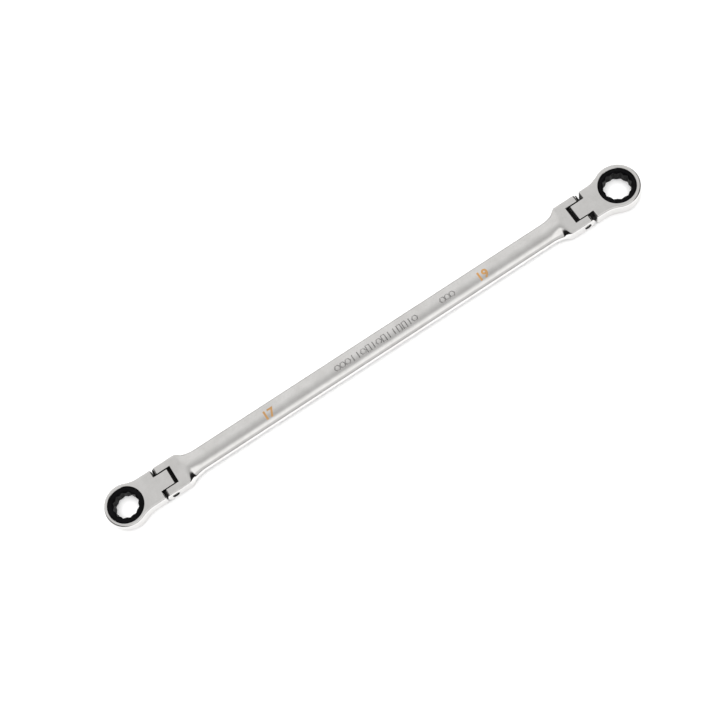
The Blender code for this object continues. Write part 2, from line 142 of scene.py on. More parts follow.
def mesh_object(name: str, shape: bmesh.types.BMesh) -> bpy.types.Object:
    """Turn a finished shape into a linked object and let the shape go."""
    bmesh.ops.recalc_face_normals(shape, faces=shape.faces)
    mesh = bpy.data.meshes.new(name)
    shape.to_mesh(mesh)
    shape.free()
    obj = bpy.data.objects.new(name, mesh)
    bpy.context.scene.collection.objects.link(obj)
    return obj


def lofted(name: str, rings: Sequence[Ring], closed: bool = False) -> bpy.types.Object:
    """A closed skin through rings of points.

    Args:
        name: The object's name.
        rings: Rings with the same number of points.
        closed: True where the last ring joins the first, so that no end is capped.

    Returns:
        The new object.
    """
    shape = bmesh.new()
    rows = [[shape.verts.new(point) for point in ring] for ring in rings]
    pairs = list(zip(rows, rows[1:]))
    if closed:
        pairs.append((rows[-1], rows[0]))
    count = len(rows[0])
    for first, second in pairs:
        for index in range(count):
            after = (index + 1) % count
            shape.faces.new((first[index], first[after], second[after], second[index]))
    if not closed:
        caps = [shape.faces.new(list(reversed(rows[0]))), shape.faces.new(rows[-1])]
        shape.normal_update()
        bmesh.ops.triangulate(shape, faces=caps, ngon_method="EAR_CLIP")
    return mesh_object(name, shape)


def plate(
    name: str, outline: Sequence[Point], half: float, rounding: float, steps: int = 6
) -> bpy.types.Object:
    """A flat outline with thickness and rounded rims.

    Args:
        name: The object's name.
        outline: The closed outline in X and Y.
        half: Half the thickness along Z.
        rounding: The radius of both rims, or 0 for square ones.
        steps: Chords in each rim.

    Returns:
        The new object.
    """
    if rounding == 0.0:
        return lofted(name, [[Vector((x, y, level)) for x, y in outline] for level in (-half, half)])
    rings = []
    for side, turns in ((-1.0, range(steps, -1, -1)), (1.0, range(steps + 1))):
        for index in turns:
            angle = math.radians(90.0) * index / steps
            line = inset(outline, rounding * (1.0 - math.cos(angle)))
            height = side * (half - rounding * (1.0 - math.sin(angle)))
            rings.append([Vector((x, y, height)) for x, y in line])
    return lofted(name, rings)


def turned(
    name: str, profile: Sequence[Point], steps: int = 96, closed: bool = False
) -> bpy.types.Object:
    """A piece turned about Z from a profile of (radius, height) points.

    Args:
        name: The object's name.
        profile: The profile. An open one starts and ends near the axis.
        steps: Points round each ring.
        closed: True where the profile is a closed section of a ring.

    Returns:
        The new object.
    """
    rings = []
    for radius, height in profile:
        rings.append([Vector((x, y, height)) for x, y in arc((0.0, 0.0), radius, 0.0, 360.0, steps)[:-1]])
    return lofted(name, rings, closed)


def block(name: str, low: Sequence[float], high: Sequence[float]) -> bpy.types.Object:
    """A plain box between two corners, used to cut with."""
    shape = bmesh.new()
    bmesh.ops.create_cube(shape, size=1.0)
    for vert in shape.verts:
        for axis in range(3):
            vert.co[axis] = low[axis] if vert.co[axis] < 0.0 else high[axis]
    return mesh_object(name, shape)


def placed(obj: bpy.types.Object, matrix: Matrix) -> bpy.types.Object:
    """Move a piece by its mesh, so that its object stays at the origin."""
    obj.data.transform(matrix)
    if matrix.is_negative:
        obj.data.flip_normals()
    return obj


def settled(obj: bpy.types.Object) -> bpy.types.Object:
    """Apply a piece's modifiers to its mesh."""
    graph = bpy.context.evaluated_depsgraph_get()
    mesh = bpy.data.meshes.new_from_object(obj.evaluated_get(graph))
    mesh.name = obj.name
    obj.modifiers.clear()
    obj.data = mesh
    return obj


def tidied(obj: bpy.types.Object) -> bpy.types.Object:
    """Split faces of many corners into triangles after a cut, and weld stray doubles."""
    shape = bmesh.new()
    shape.from_mesh(obj.data)
    many = [face for face in shape.faces if len(face.verts) > 4]
    bmesh.ops.triangulate(shape, faces=many, ngon_method="EAR_CLIP")
    bmesh.ops.remove_doubles(shape, verts=shape.verts, dist=WELD)
    bmesh.ops.dissolve_degenerate(shape, edges=shape.edges, dist=WELD / 2.0)
    shape.to_mesh(obj.data)
    shape.free()
    return obj


def combined(
    obj: bpy.types.Object, others: Sequence[bpy.types.Object], operation: str
) -> bpy.types.Object:
    """Cut other pieces from a piece, or join them to it, and remove them.

    Args:
        obj: The piece that stays.
        others: The pieces that are used up.
        operation: DIFFERENCE or UNION.

    Returns:
        The piece that stays.
    """
    for other in others:
        boolean = obj.modifiers.new(other.name, "BOOLEAN")
        boolean.operation = operation
        boolean.object = other
        boolean.solver = "MANIFOLD"
        settled(obj)
        bpy.data.objects.remove(other, do_unlink=True)
    return tidied(obj)


def smoothed(obj: bpy.types.Object, angle: float = SMOOTH_ANGLE) -> bpy.types.Object:
    """Shade a piece smooth, with crisp corners and flat faces that stay flat."""
    obj.data.shade_smooth()
    obj.data.set_sharp_from_angle(angle=angle)
    normals = obj.modifiers.new("flat_faces", "WEIGHTED_NORMAL")
    normals.keep_sharp = True
    return settled(obj)


# ---------------------------------------------------------------- node trees


class Bench:
    """Adds and wires the nodes of one tree."""

    def __init__(self, tree: bpy.types.NodeTree) -> None:
        """Start on a tree."""
        self.tree = tree

    def add(self, kind: str, inputs: dict | None = None, **settings: object) -> bpy.types.Node:
        """Add a node.

        Args:
            kind: The node's type.
            inputs: Values or sockets for its inputs, by name or number.
            **settings: Properties of the node.

        Returns:
            The new node.
        """
        node = self.tree.nodes.new(kind)
        for name, value in settings.items():
            setattr(node, name, value)
        for name, value in (inputs or {}).items():
            if isinstance(value, bpy.types.NodeSocket):
                self.tree.links.new(value, node.inputs[name])
            else:
                node.inputs[name].default_value = value
        return node

    def maths(self, operation: str, first: object, second: object = 0.0) -> bpy.types.NodeSocket:
        """The result of a Math node."""
        node = self.add("ShaderNodeMath", {0: first, 1: second}, operation=operation)
        return node.outputs[0]


@dataclass(frozen=True)
class Finish:
    """A metal finish: its colour, how it scatters, and how its surface varies.

    Attributes:
        name: The material's name.
        slot: The part's material slot that it belongs to.
        light: The colour where the surface is cleanest.
        dark: The colour where it is dullest.
        metallic: How metallic it is.
        roughness: The lowest and highest roughness.
        grain: Grains for each metre, along X, Y and Z.
        grain_depth: How deep the grain is, in metres.
        specular: How strongly a surface that isn't metal mirrors.
    """

    name: str
    slot: str
    light: Colour
    dark: Colour
    metallic: float
    roughness: tuple[float, float]
    grain: tuple[float, float, float]
    grain_depth: float
    specular: float = 0.5

    def material(self) -> bpy.types.Material:
        """The finish as a material, made once."""
        found = bpy.data.materials.get(self.name)
        if found:
            return found
        material = bpy.data.materials.new(self.name)
        material.use_nodes = True
        material.diffuse_color = self.light
        bench = Bench(material.node_tree)
        shader = material.node_tree.nodes["Principled BSDF"]
        shader.inputs["Metallic"].default_value = self.metallic
        shader.inputs["Specular IOR Level"].default_value = self.specular
        place = bench.add("ShaderNodeTexCoord").outputs["Object"]
        self.wire_colour(bench, shader, place)
        grain = self.grain_pattern(bench, place)
        self.wire_roughness(bench, shader, place, grain)
        self.wire_bump(bench, shader, place, grain)
        return material

    def grain_pattern(self, bench: Bench, place: bpy.types.NodeSocket) -> bpy.types.NodeSocket:
        """The polishing grain, drawn out where its numbers differ by direction."""
        spread = bench.add("ShaderNodeMapping", {"Vector": place, "Scale": self.grain})
        noise = bench.add(
            "ShaderNodeTexNoise",
            {"Vector": spread.outputs[0], "Scale": 1.0, "Detail": 4.0, "Roughness": 0.6},
        )
        return noise.outputs["Fac"]

    def wire_colour(
        self, bench: Bench, shader: bpy.types.Node, place: bpy.types.NodeSocket
    ) -> None:
        """Let the colour drift between clean and dull in soft clouds and small specks."""
        clouds = bench.add(
            "ShaderNodeTexNoise", {"Vector": place, "Scale": 85.0, "Detail": 3.0, "Roughness": 0.55}
        )
        specks = bench.add(
            "ShaderNodeTexNoise", {"Vector": place, "Scale": 1400.0, "Detail": 2.0, "Roughness": 0.7}
        )
        both = bench.add(
            "ShaderNodeMix", {0: 0.35, 2: clouds.outputs["Fac"], 3: specks.outputs["Fac"]}
        )
        part = bench.add("ShaderNodeMapRange", {"Value": both.outputs[0], 1: 0.35, 2: 0.65})
        colour = bench.add(
            "ShaderNodeMix", {0: part.outputs[0], 6: self.light, 7: self.dark}, data_type="RGBA"
        )
        bench.tree.links.new(colour.outputs[2], shader.inputs["Base Color"])

    def wire_roughness(
        self,
        bench: Bench,
        shader: bpy.types.Node,
        place: bpy.types.NodeSocket,
        grain: bpy.types.NodeSocket,
    ) -> None:
        """Vary the roughness with the grain and with faint handling smears."""
        smears = bench.add(
            "ShaderNodeTexNoise", {"Vector": place, "Scale": 45.0, "Detail": 5.0, "Distortion": 1.2}
        )
        both = bench.add("ShaderNodeMix", {0: 0.55, 2: smears.outputs["Fac"], 3: grain})
        part = bench.add(
            "ShaderNodeMapRange",
            {"Value": both.outputs[0], 1: 0.3, 2: 0.7, 3: self.roughness[0], 4: self.roughness[1]},
        )
        bench.tree.links.new(part.outputs[0], shader.inputs["Roughness"])

    def wire_bump(
        self,
        bench: Bench,
        shader: bpy.types.Node,
        place: bpy.types.NodeSocket,
        grain: bpy.types.NodeSocket,
    ) -> None:
        """Raise the grain, over a slight waviness left by the forging."""
        waves = bench.add("ShaderNodeTexNoise", {"Vector": place, "Scale": 160.0, "Detail": 1.0})
        forged = bench.add(
            "ShaderNodeBump",
            {"Height": waves.outputs["Fac"], "Strength": 0.25, "Distance": 0.04 * MM},
        )
        fine = bench.add(
            "ShaderNodeBump",
            {
                "Height": grain,
                "Strength": 1.0,
                "Distance": self.grain_depth,
                "Normal": forged.outputs[0],
            },
        )
        bench.tree.links.new(fine.outputs[0], shader.inputs["Normal"])


FORGED_CHROME = Finish(
    name="satin_chrome_forging",
    slot="satin_chrome",
    light=(0.80, 0.792, 0.785, 1.0),
    dark=(0.72, 0.71, 0.70, 1.0),
    metallic=1.0,
    roughness=(0.09, 0.15),
    grain=(900.0, 2600.0, 2600.0),
    grain_depth=0.0008 * MM,
)
BAR_CHROME = Finish(
    name="satin_chrome_bar",
    slot="satin_chrome",
    light=(0.80, 0.792, 0.785, 1.0),
    dark=(0.71, 0.70, 0.69, 1.0),
    metallic=1.0,
    roughness=(0.09, 0.16),
    grain=(220.0, 3200.0, 3200.0),
    grain_depth=0.0008 * MM,
)
BLACK_OXIDE = Finish(
    name="black_oxide_gear",
    slot="black_oxide",
    light=(0.006, 0.006, 0.007, 1.0),
    dark=(0.002, 0.002, 0.002, 1.0),
    metallic=0.0,
    roughness=(0.3, 0.46),
    grain=(2200.0, 2200.0, 700.0),
    grain_depth=0.003 * MM,
    specular=0.03,
)
# Near-black painted shade for faces inside slots, bores and pin holes and on the prong noses.
PAINTED_SHADE_INSIDE = Finish(
    name="painted_shade_inside",
    slot="satin_chrome",
    light=(0.022, 0.021, 0.02, 1.0),
    dark=(0.009, 0.009, 0.009, 1.0),
    metallic=0.0,
    roughness=(0.45, 0.65),
    grain=(1200.0, 1200.0, 1200.0),
    grain_depth=0.004 * MM,
    specular=0.2,
)
GROUND_STEEL = Finish(
    name="ground_pin_steel",
    slot="ground_steel",
    light=(0.72, 0.715, 0.71, 1.0),
    dark=(0.6, 0.6, 0.59, 1.0),
    metallic=1.0,
    roughness=(0.25, 0.4),
    grain=(2600.0, 500.0, 2600.0),
    grain_depth=0.003 * MM,
)
SPRING_STEEL = Finish(
    name="blued_spring_steel",
    slot="spring_steel",
    light=(0.30, 0.30, 0.33, 1.0),
    dark=(0.16, 0.15, 0.17, 1.0),
    metallic=1.0,
    roughness=(0.22, 0.4),
    grain=(1800.0, 1800.0, 1800.0),
    grain_depth=0.002 * MM,
)
PAWL_STEEL = Finish(
    name="hardened_pawl_steel",
    slot="hardened_steel",
    light=(0.22, 0.215, 0.21, 1.0),
    dark=(0.12, 0.11, 0.105, 1.0),
    metallic=1.0,
    roughness=(0.3, 0.5),
    grain=(2400.0, 600.0, 2400.0),
    grain_depth=0.004 * MM,
)
MARK_ENAMEL = Finish(
    name="orange_size_enamel",
    slot="size_mark",
    light=(0.50, 0.25, 0.07, 1.0),
    dark=(0.36, 0.21, 0.09, 1.0),
    metallic=0.0,
    roughness=(0.4, 0.6),
    grain=(1500.0, 1500.0, 1500.0),
    grain_depth=0.01 * MM,
)
ETCHED_STEEL = Finish(
    name="etched_marking",
    slot="engraving",
    light=(0.74, 0.725, 0.72, 1.0),
    dark=(0.52, 0.505, 0.5, 1.0),
    metallic=1.0,
    roughness=(0.3, 0.45),
    grain=(2500.0, 2500.0, 2500.0),
    grain_depth=0.006 * MM,
)


class Body(Enum):
    """The bodies that an end's finer pieces ride on, as the part's body names end."""

    HEAD = "head"
    GEAR = "gear"


def dress(
    obj: bpy.types.Object, finish: Finish, body: str, replaced: Sequence[str] = ()
) -> bpy.types.Object:
    """Give a finished piece its material, its body and the part nodes it stands for.

    Args:
        obj: The piece, in place.
        finish: Its finish.
        body: The part's body that it moves with.
        replaced: The part's nodes that it stands for.

    Returns:
        The same piece.
    """
    obj.data.materials.clear()
    obj.data.materials.append(finish.material())
    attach(obj, body)
    if replaced:
        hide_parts(*replaced)
    return obj


def shade_painted(obj: bpy.types.Object, inside: Callable[[Vector, Vector], bool]) -> bpy.types.Object:
    """Paint the faces inside slots and bores near black, as painted shade where these gaps fall dark.

    Args:
        obj: The dressed piece.
        inside: Tells from a face's middle and normal whether it lies inside.

    Returns:
        The same piece.
    """
    obj.data.materials.append(PAINTED_SHADE_INSIDE.material())
    for face in obj.data.polygons:
        if inside(face.center, face.normal):
            face.material_index = 1
    return obj


def joint_place(name: str) -> Vector:
    """Where a joint of the part sits."""
    return Vector(next(joint["pos_m"] for joint in frame["joints"] if joint["name"] == name))


# ---------------------------------------------------------------- one end


def flared(radius: float, mouth: float, half: float) -> list[Point]:
    """The profile of a round cutter whose hole has a chamfer at both mouths.

    Args:
        radius: The hole's radius.
        mouth: The chamfers' size.
        half: Half the depth of what it cuts.

    Returns:
        The profile, which goes past both faces.
    """
    wide = radius + mouth + OVER
    return [(wide, half + OVER), (radius, half - mouth), (radius, mouth - half), (wide, -half - OVER)]


def swinging_end(pin: float, half: float, radius: float, steps: int) -> list[Point]:
    """The upper half of an end that turns close by another: flat, then an arc about the pin.

    Args:
        pin: Where the pin is along the end.
        half: Half the end's thickness.
        radius: The arc's radius about the pin.
        steps: Chords in the arc.

    Returns:
        Points from the flat's edge to the furthest point, towards +X.
    """
    turn = math.degrees(math.asin(half / radius))
    return arc((pin, 0.0), radius, turn, 0.0, steps)


@dataclass(frozen=True)
class EndSizes:
    """Where one end is, and the sizes in which it differs from the other.

    Attributes:
        name: The end's name in the part.
        centre: The middle of the nut opening.
        facing: 1 where the handle lies towards +X, and -1 where it lies towards -X.
        pin: The distance from the opening to the flex pin.
        head_radius: The ring's outer radius.
        half: Half the head's thickness.
        lip: The outer radius of the gear's lips.
        gear_half: Half the gear's thickness.
        across_flats: The nut size.
        turn: The turn of the 12 points, in degrees.
        shoulder: The distance from the opening to the shoulder.
        brow: The radius of the shoulder's upper and lower edges.
        nose: The radius of the fork's noses about the pin.
        blend: The radius that blends the ring into the neck.
    """

    name: str
    centre: Vector
    facing: float
    pin: float
    head_radius: float
    half: float
    lip: float
    gear_half: float
    across_flats: float
    turn: float
    shoulder: float
    brow: float
    nose: float
    blend: float

    @classmethod
    def measured(
        cls,
        name: str,
        across_flats: float,
        turn: float,
        shoulder: float,
        brow: float,
        nose: float,
        blend: float,
    ) -> "EndSizes":
        """Read an end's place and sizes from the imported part.

        Args:
            name: The end's name in the part.
            across_flats: The nut size.
            turn: The turn of the 12 points, in degrees.
            shoulder: The distance from the opening to the shoulder.
            brow: The radius of the shoulder's upper and lower edges.
            nose: The radius of the fork's noses about the pin.
            blend: The radius that blends the ring into the neck.

        Returns:
            The end's sizes.
        """
        centre = joint_place(f"{name}_gear_spin")
        pin = joint_place(f"{name}_flex")
        low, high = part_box(f"{name}_ratchet_head")
        gear_low, gear_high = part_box(f"{name}_drive_gear")
        facing = math.copysign(1.0, pin.x - centre.x)
        return cls(
            name=name,
            centre=centre,
            facing=facing,
            pin=abs(pin.x - centre.x),
            head_radius=(high.y - low.y) / 2.0,
            half=(high.z - low.z) / 2.0,
            lip=(gear_high.y - gear_low.y) / 2.0,
            gear_half=(gear_high.z - gear_low.z) / 2.0,
            across_flats=across_flats,
            turn=turn,
            shoulder=shoulder,
            brow=brow,
            nose=nose,
            blend=blend,
        )

    def matrix(self) -> Matrix:
        """From the end's own frame to the part's."""
        turn = 0.0 if self.facing > 0.0 else math.pi
        return Matrix.Translation(self.centre) @ Matrix.Rotation(turn, 4, "Z")

    def body(self, body: Body) -> str:
        """The name of one of the end's bodies."""
        return f"{self.name}_{body.value}"


@dataclass
class RatchetHead:
    """The forged head: the ring, the neck with its shoulder, and the tongue.

    Attributes:
        sizes: The end's sizes.
        neck: Half the neck's width.
        rim: The radius of the rims.
        corner: The radius of the shoulder's corners, seen from above.
        tongue: Half the tongue's width.
        tongue_drop: How far the tongue's faces lie below the head's.
        tongue_edge: The radius of the tongue's edges.
        swing: The radius of the tongue's end about the pin.
        fit: The gap that the gear turns in.
        mouth: The chamfer of the gear's bore.
        step_start: How far past the shoulder the tongue's faces start to drop.
        step_stop: How far past the shoulder they are fully down.
        cheek_gap: How far from the tongue the shoulder's edges start to round.
        pocket_side: Half the pawls' pocket across the neck.
        pocket_half: Half the pocket's height.
        pocket_reach: How far the pocket reaches past the bore.
        spring_hole: The radius of the springs' holes.
        spring_level: How far above and below mid height they lie.
        spring_middle: The distance from the opening to their middles.
        spring_reach: Half their length.
    """

    sizes: EndSizes
    neck: float = 12.5 * MM
    rim: float = 1.1 * MM
    corner: float = 1.4 * MM
    tongue: float = 6.1 * MM
    tongue_drop: float = 0.2 * MM
    tongue_edge: float = 0.35 * MM
    swing: float = 6.2 * MM
    fit: float = 0.3 * MM
    mouth: float = 0.3 * MM
    step_start: float = 0.9 * MM
    step_stop: float = 1.9 * MM
    cheek_gap: float = 0.35 * MM
    pocket_side: float = 4.4 * MM
    pocket_half: float = 3.25 * MM
    pocket_reach: float = 5.9 * MM
    spring_hole: float = 1.5 * MM
    spring_level: float = 1.65 * MM
    spring_middle: float = 21.6 * MM
    spring_reach: float = 3.0 * MM

    def outline(self) -> list[Point]:
        """The ring and the neck seen from above."""
        sizes = self.sizes
        height = self.neck + sizes.blend
        along = math.sqrt((sizes.head_radius + sizes.blend) ** 2 - height ** 2)
        meet = math.degrees(math.atan2(height, along))
        ring = arc((0.0, 0.0), sizes.head_radius, 180.0, meet, 56)
        neck = arc((along, height), sizes.blend, meet - 180.0, -90.0, 16)
        corner = arc((sizes.shoulder - self.corner, self.neck - self.corner), self.corner, 90.0, 0.0, 6)
        return mirrored(ring + neck[1:] + corner)

    def tongue_outline(self) -> list[Point]:
        """The tongue seen from its side, with a soft step at its root and a blunt end."""
        sizes = self.sizes
        low = sizes.half - self.tongue_drop
        start, stop = sizes.shoulder + self.step_start, sizes.shoulder + self.step_stop
        root, high = sizes.pin - 12.0 * MM, sizes.half - 0.01 * MM
        top, steps = [(root, high)], 6
        for index in range(steps + 1):
            part = index / steps
            top.append((mix(start, stop, part), mix(high, low, smooth_step(part))))
        return mirrored(top + swinging_end(sizes.pin, low, self.swing, 16))

    def brows(self) -> list[bpy.types.Object]:
        """Four cutters that round the shoulder's edges beside the tongue."""
        sizes = self.sizes
        radius, hair = sizes.brow, 0.01 * MM
        inner, outer = self.tongue + self.cheek_gap, self.neck + 2.0 * OVER
        middle = (sizes.shoulder - radius + hair, sizes.half - radius + hair)
        outline = arc(middle, radius, 90.0, 0.0, 14)
        outline += [(sizes.shoulder + OVER, sizes.half - radius), (sizes.shoulder + OVER, sizes.half + OVER)]
        outline.append((middle[0], sizes.half + OVER))
        made = []
        for side in (-1.0, 1.0):
            for level in (-1.0, 1.0):
                half = (outer - inner) / 2.0
                brow = placed(plate("brow", outline, half, 0.0), SIDEWAYS)
                spot = Matrix.Translation((0.0, side * (inner + half), 0.0))
                made.append(placed(brow, spot @ Matrix.Diagonal((1.0, 1.0, level, 1.0))))
        return made

    def bores(self) -> list[bpy.types.Object]:
        """The gear's bore with its chamfers, the pawls' pocket, the pin's and springs' holes."""
        sizes = self.sizes
        bore = sizes.lip + self.fit
        pocket = block(
            "pocket",
            (bore - 2.0 * OVER, -self.pocket_side, -self.pocket_half),
            (bore + self.pocket_reach, self.pocket_side, self.pocket_half),
        )
        reach = 9.0 * MM
        pin_hole = turned("pin_hole", [(PIN_HOLE, reach), (PIN_HOLE, -reach)], 64)
        placed(pin_hole, Matrix.Translation((sizes.pin, 0.0, 0.0)) @ SIDEWAYS)
        made = [turned("bore", flared(bore, self.mouth, sizes.half), 180), pocket, pin_hole]
        for level in (self.spring_level, -self.spring_level):
            ends = [(self.spring_hole, self.spring_reach), (self.spring_hole, -self.spring_reach)]
            hole = turned("spring_hole", ends, 32)
            placed(hole, Matrix.Translation((self.spring_middle, 0.0, level)) @ ENDWAYS)
            made.append(hole)
        return made

    def build(self) -> list[bpy.types.Object]:
        """Shape the head, put it in place and dress it."""
        sizes = self.sizes
        head = plate(f"{sizes.name}_head_forging", self.outline(), sizes.half, self.rim, 8)
        combined(head, self.brows(), "DIFFERENCE")
        tongue = plate("tongue", self.tongue_outline(), self.tongue, self.tongue_edge, 4)
        combined(head, [placed(tongue, SIDEWAYS)], "UNION")
        combined(head, self.bores(), "DIFFERENCE")
        placed(smoothed(head), sizes.matrix())
        dress(head, FORGED_CHROME, sizes.body(Body.HEAD), [f"{sizes.name}_ratchet_head"])
        # The bore, pocket and tongue's cheeks and end get the near-black painted shade.
        return [shade_painted(head, self.inside)]

    def inside(self, middle: Vector, normal: Vector) -> bool:
        """Whether a face lies in the bore, in the pocket or on the tongue's cheeks and end, where shade is
        painted.
        """
        sizes = self.sizes
        spot = sizes.matrix().inverted() @ middle
        facing = (sizes.matrix().inverted().to_3x3() @ normal).normalized()
        if spot.x < sizes.shoulder - 0.5 * MM:
            in_bore = spot.xy.length < sizes.lip + self.fit + 0.1 * MM
            in_pocket = (
                abs(spot.y) < self.pocket_side + 0.1 * MM and abs(spot.z) < self.pocket_half + 0.15 * MM
            )
            return in_bore or in_pocket
        return abs(facing.z) < 0.55 and abs(spot.y) < self.neck - self.corner


@dataclass
class DriveGear:
    """The 12-point drive gear: a turned body and the toothed band on it.

    Attributes:
        sizes: The end's sizes.
        entry: How far the entry chamfer reaches past the points.
        flute: The radius in each point's corner.
        lip_edge: The radius of the lips' edges.
        band_half: Half the toothed band's height.
        band_root: The band's thickness inside its teeth.
        tip_drop: How far the teeth's tips lie inside the lips.
        teeth: The number of teeth.
        tooth_depth: The teeth's depth.
        ramp: The share of the pitch that a tooth's long flank takes.
        groove: Where the snap ring's groove starts and stops, below mid height.
        groove_depth: How deep the groove is.
    """

    sizes: EndSizes
    entry: float = 0.55 * MM
    flute: float = 0.5 * MM
    lip_edge: float = 0.3 * MM
    band_half: float = 3.25 * MM
    band_root: float = 0.3 * MM
    tip_drop: float = 0.1 * MM
    teeth: int = 60
    tooth_depth: float = 0.8 * MM
    ramp: float = 0.8
    groove: Point = (3.75 * MM, 4.75 * MM)
    groove_depth: float = 0.9 * MM

    def opening(self) -> list[Point]:
        """Two hexagons turned 30 degrees apart, with rounded points."""
        outer = self.sizes.across_flats / math.sqrt(3.0)
        inner = self.sizes.across_flats / 2.0 / math.cos(math.radians(15.0))
        points = []
        step = 30.0
        for index in range(12):
            angle = math.radians(self.sizes.turn + index * step)
            towards = Vector((math.cos(angle), math.sin(angle)))
            centre = towards * (outer - self.flute / math.cos(math.radians(step)))
            turn = math.degrees(angle)
            points += arc((centre.x, centre.y), self.flute, turn - step, turn + step, 4)
            valley = math.radians(self.sizes.turn + index * step + step / 2.0)
            points.append((inner * math.cos(valley), inner * math.sin(valley)))
        return points

    def section(self) -> list[Point]:
        """The body's closed section, turned down between the lips for the band."""
        half = self.sizes.gear_half
        lip = self.sizes.lip
        seat = lip - self.tip_drop - self.tooth_depth - self.band_root
        inner = self.sizes.across_flats / 2.0 - 1.0 * MM
        edge = self.lip_edge
        upper = [(inner, half)] + arc((lip - edge, half - edge), edge, 90.0, 0.0, 5)
        lower = arc((lip - edge, edge - half), edge, 0.0, -90.0, 5) + [(inner, -half)]
        band = [
            (lip, self.band_half),
            (seat, self.band_half),
            (seat, -self.band_half),
            (lip, -self.band_half),
        ]
        start, stop = self.groove
        floor = lip - self.groove_depth
        groove = [(lip, -start), (floor, -start), (floor, -stop), (lip, -stop)]
        return upper + band + groove + lower

    def entry_plug(self) -> bpy.types.Object:
        """The turned cutter that chamfers both mouths of the opening."""
        half = self.sizes.gear_half
        mouth = self.sizes.across_flats / math.sqrt(3.0) + self.entry
        waist = self.sizes.across_flats / 2.0 - 0.4 * MM
        slope = 0.75
        drop = (mouth - waist) * slope
        profile = [
            (mouth + OVER, half + slope * MM),
            (mouth, half),
            (waist, half - drop),
            (waist, drop - half),
            (mouth, -half),
            (mouth + OVER, -half - slope * MM),
        ]
        return turned("entry", profile, 144)

    def tooth_tree(self) -> bpy.types.NodeTree:
        """The node tree that turns a tooth count and three sizes into a toothed ring."""
        tree = bpy.data.node_groups.new("toothed_band", "GeometryNodeTree")
        face = tree.interface
        for name, kind in (
            ("Teeth", "NodeSocketInt"),
            ("Tip Radius", "NodeSocketFloat"),
            ("Tooth Depth", "NodeSocketFloat"),
            ("Ramp Share", "NodeSocketFloat"),
            ("Inner Radius", "NodeSocketFloat"),
            ("Half Height", "NodeSocketFloat"),
            ("Finish", "NodeSocketMaterial"),
        ):
            face.new_socket(name, in_out="INPUT", socket_type=kind)
        face.new_socket("Geometry", in_out="OUTPUT", socket_type="NodeSocketGeometry")
        bench = Bench(tree)
        given = bench.add("NodeGroupInput").outputs
        count = bench.maths("MULTIPLY", given["Teeth"], 2.0)
        circle = bench.add("GeometryNodeCurvePrimitiveCircle", {"Resolution": count})
        index = bench.add("GeometryNodeInputIndex").outputs[0]
        high = bench.maths("MODULO", index, 2.0)
        tooth = bench.maths("FLOOR", bench.maths("DIVIDE", index, 2.0))
        step = bench.maths("ADD", tooth, bench.maths("MULTIPLY", high, given["Ramp Share"]))
        angle = bench.maths("DIVIDE", bench.maths("MULTIPLY", step, math.tau), given["Teeth"])
        low = bench.maths("SUBTRACT", 1.0, high)
        below = bench.maths("MULTIPLY", given["Half Height"], -1.0)
        radius = bench.maths(
            "SUBTRACT", given["Tip Radius"], bench.maths("MULTIPLY", low, given["Tooth Depth"])
        )
        spot = bench.add(
            "ShaderNodeCombineXYZ",
            {
                "X": bench.maths("MULTIPLY", radius, bench.maths("COSINE", angle)),
                "Y": bench.maths("MULTIPLY", radius, bench.maths("SINE", angle)),
            },
        )
        toothed = bench.add(
            "GeometryNodeSetPosition", {"Geometry": circle.outputs[0], "Position": spot.outputs[0]}
        )
        inner = bench.add(
            "GeometryNodeCurvePrimitiveCircle",
            {"Resolution": count, "Radius": given["Inner Radius"]},
        )
        both = bench.add("GeometryNodeJoinGeometry")
        tree.links.new(toothed.outputs[0], both.inputs[0])
        tree.links.new(inner.outputs[0], both.inputs[0])
        flat = bench.add("GeometryNodeFillCurve", {"Curve": both.outputs[0]})
        down = bench.add("ShaderNodeCombineXYZ", {"Z": below})
        filled = bench.add(
            "GeometryNodeSetPosition", {"Geometry": flat.outputs[0], "Offset": down.outputs[0]}
        )
        up = bench.maths("MULTIPLY", given["Half Height"], 2.0)
        raised = bench.add(
            "GeometryNodeExtrudeMesh",
            {
                "Mesh": filled.outputs[0],
                "Offset": bench.add("ShaderNodeCombineXYZ", {"Z": 1.0}).outputs[0],
                "Offset Scale": up,
                "Individual": False,
            },
        )
        base = bench.add("GeometryNodeFlipFaces", {"Mesh": filled.outputs[0]})
        closed = bench.add("GeometryNodeJoinGeometry")
        tree.links.new(base.outputs[0], closed.inputs[0])
        tree.links.new(raised.outputs[0], closed.inputs[0])
        merged = bench.add(
            "GeometryNodeMergeByDistance", {"Geometry": closed.outputs[0], "Distance": WELD}
        )
        real = bench.add("GeometryNodeRealizeInstances", {"Geometry": merged.outputs[0]})
        painted = bench.add(
            "GeometryNodeSetMaterial", {"Geometry": real.outputs[0], "Material": given["Finish"]}
        )
        out = bench.add("NodeGroupOutput")
        tree.links.new(painted.outputs[0], out.inputs[0])
        return tree

    def build(self) -> list[bpy.types.Object]:
        """Shape the gear and its band, put them in place and dress them."""
        sizes = self.sizes
        gear = turned(f"{sizes.name}_gear_body", self.section(), 180, closed=True)
        points = plate("points", self.opening(), sizes.half + OVER, 0.0)
        combined(gear, [points, self.entry_plug()], "DIFFERENCE")
        placed(smoothed(gear, math.radians(28.0)), sizes.matrix())
        body = sizes.body(Body.GEAR)
        dress(gear, BLACK_OXIDE, body, [f"{sizes.name}_drive_gear"])
        tip = sizes.lip - self.tip_drop
        band = grown(
            f"{sizes.name}_tooth_band",
            self.tooth_tree(),
            {
                "Teeth": self.teeth,
                "Tip Radius": tip,
                "Tooth Depth": self.tooth_depth,
                "Ramp Share": self.ramp,
                "Inner Radius": tip - self.tooth_depth - self.band_root,
                "Half Height": self.band_half,
                "Finish": BLACK_OXIDE.material(),
            },
        )
        placed(smoothed(band, math.radians(20.0)), sizes.matrix())
        return [gear, dress(band, BLACK_OXIDE, body)]


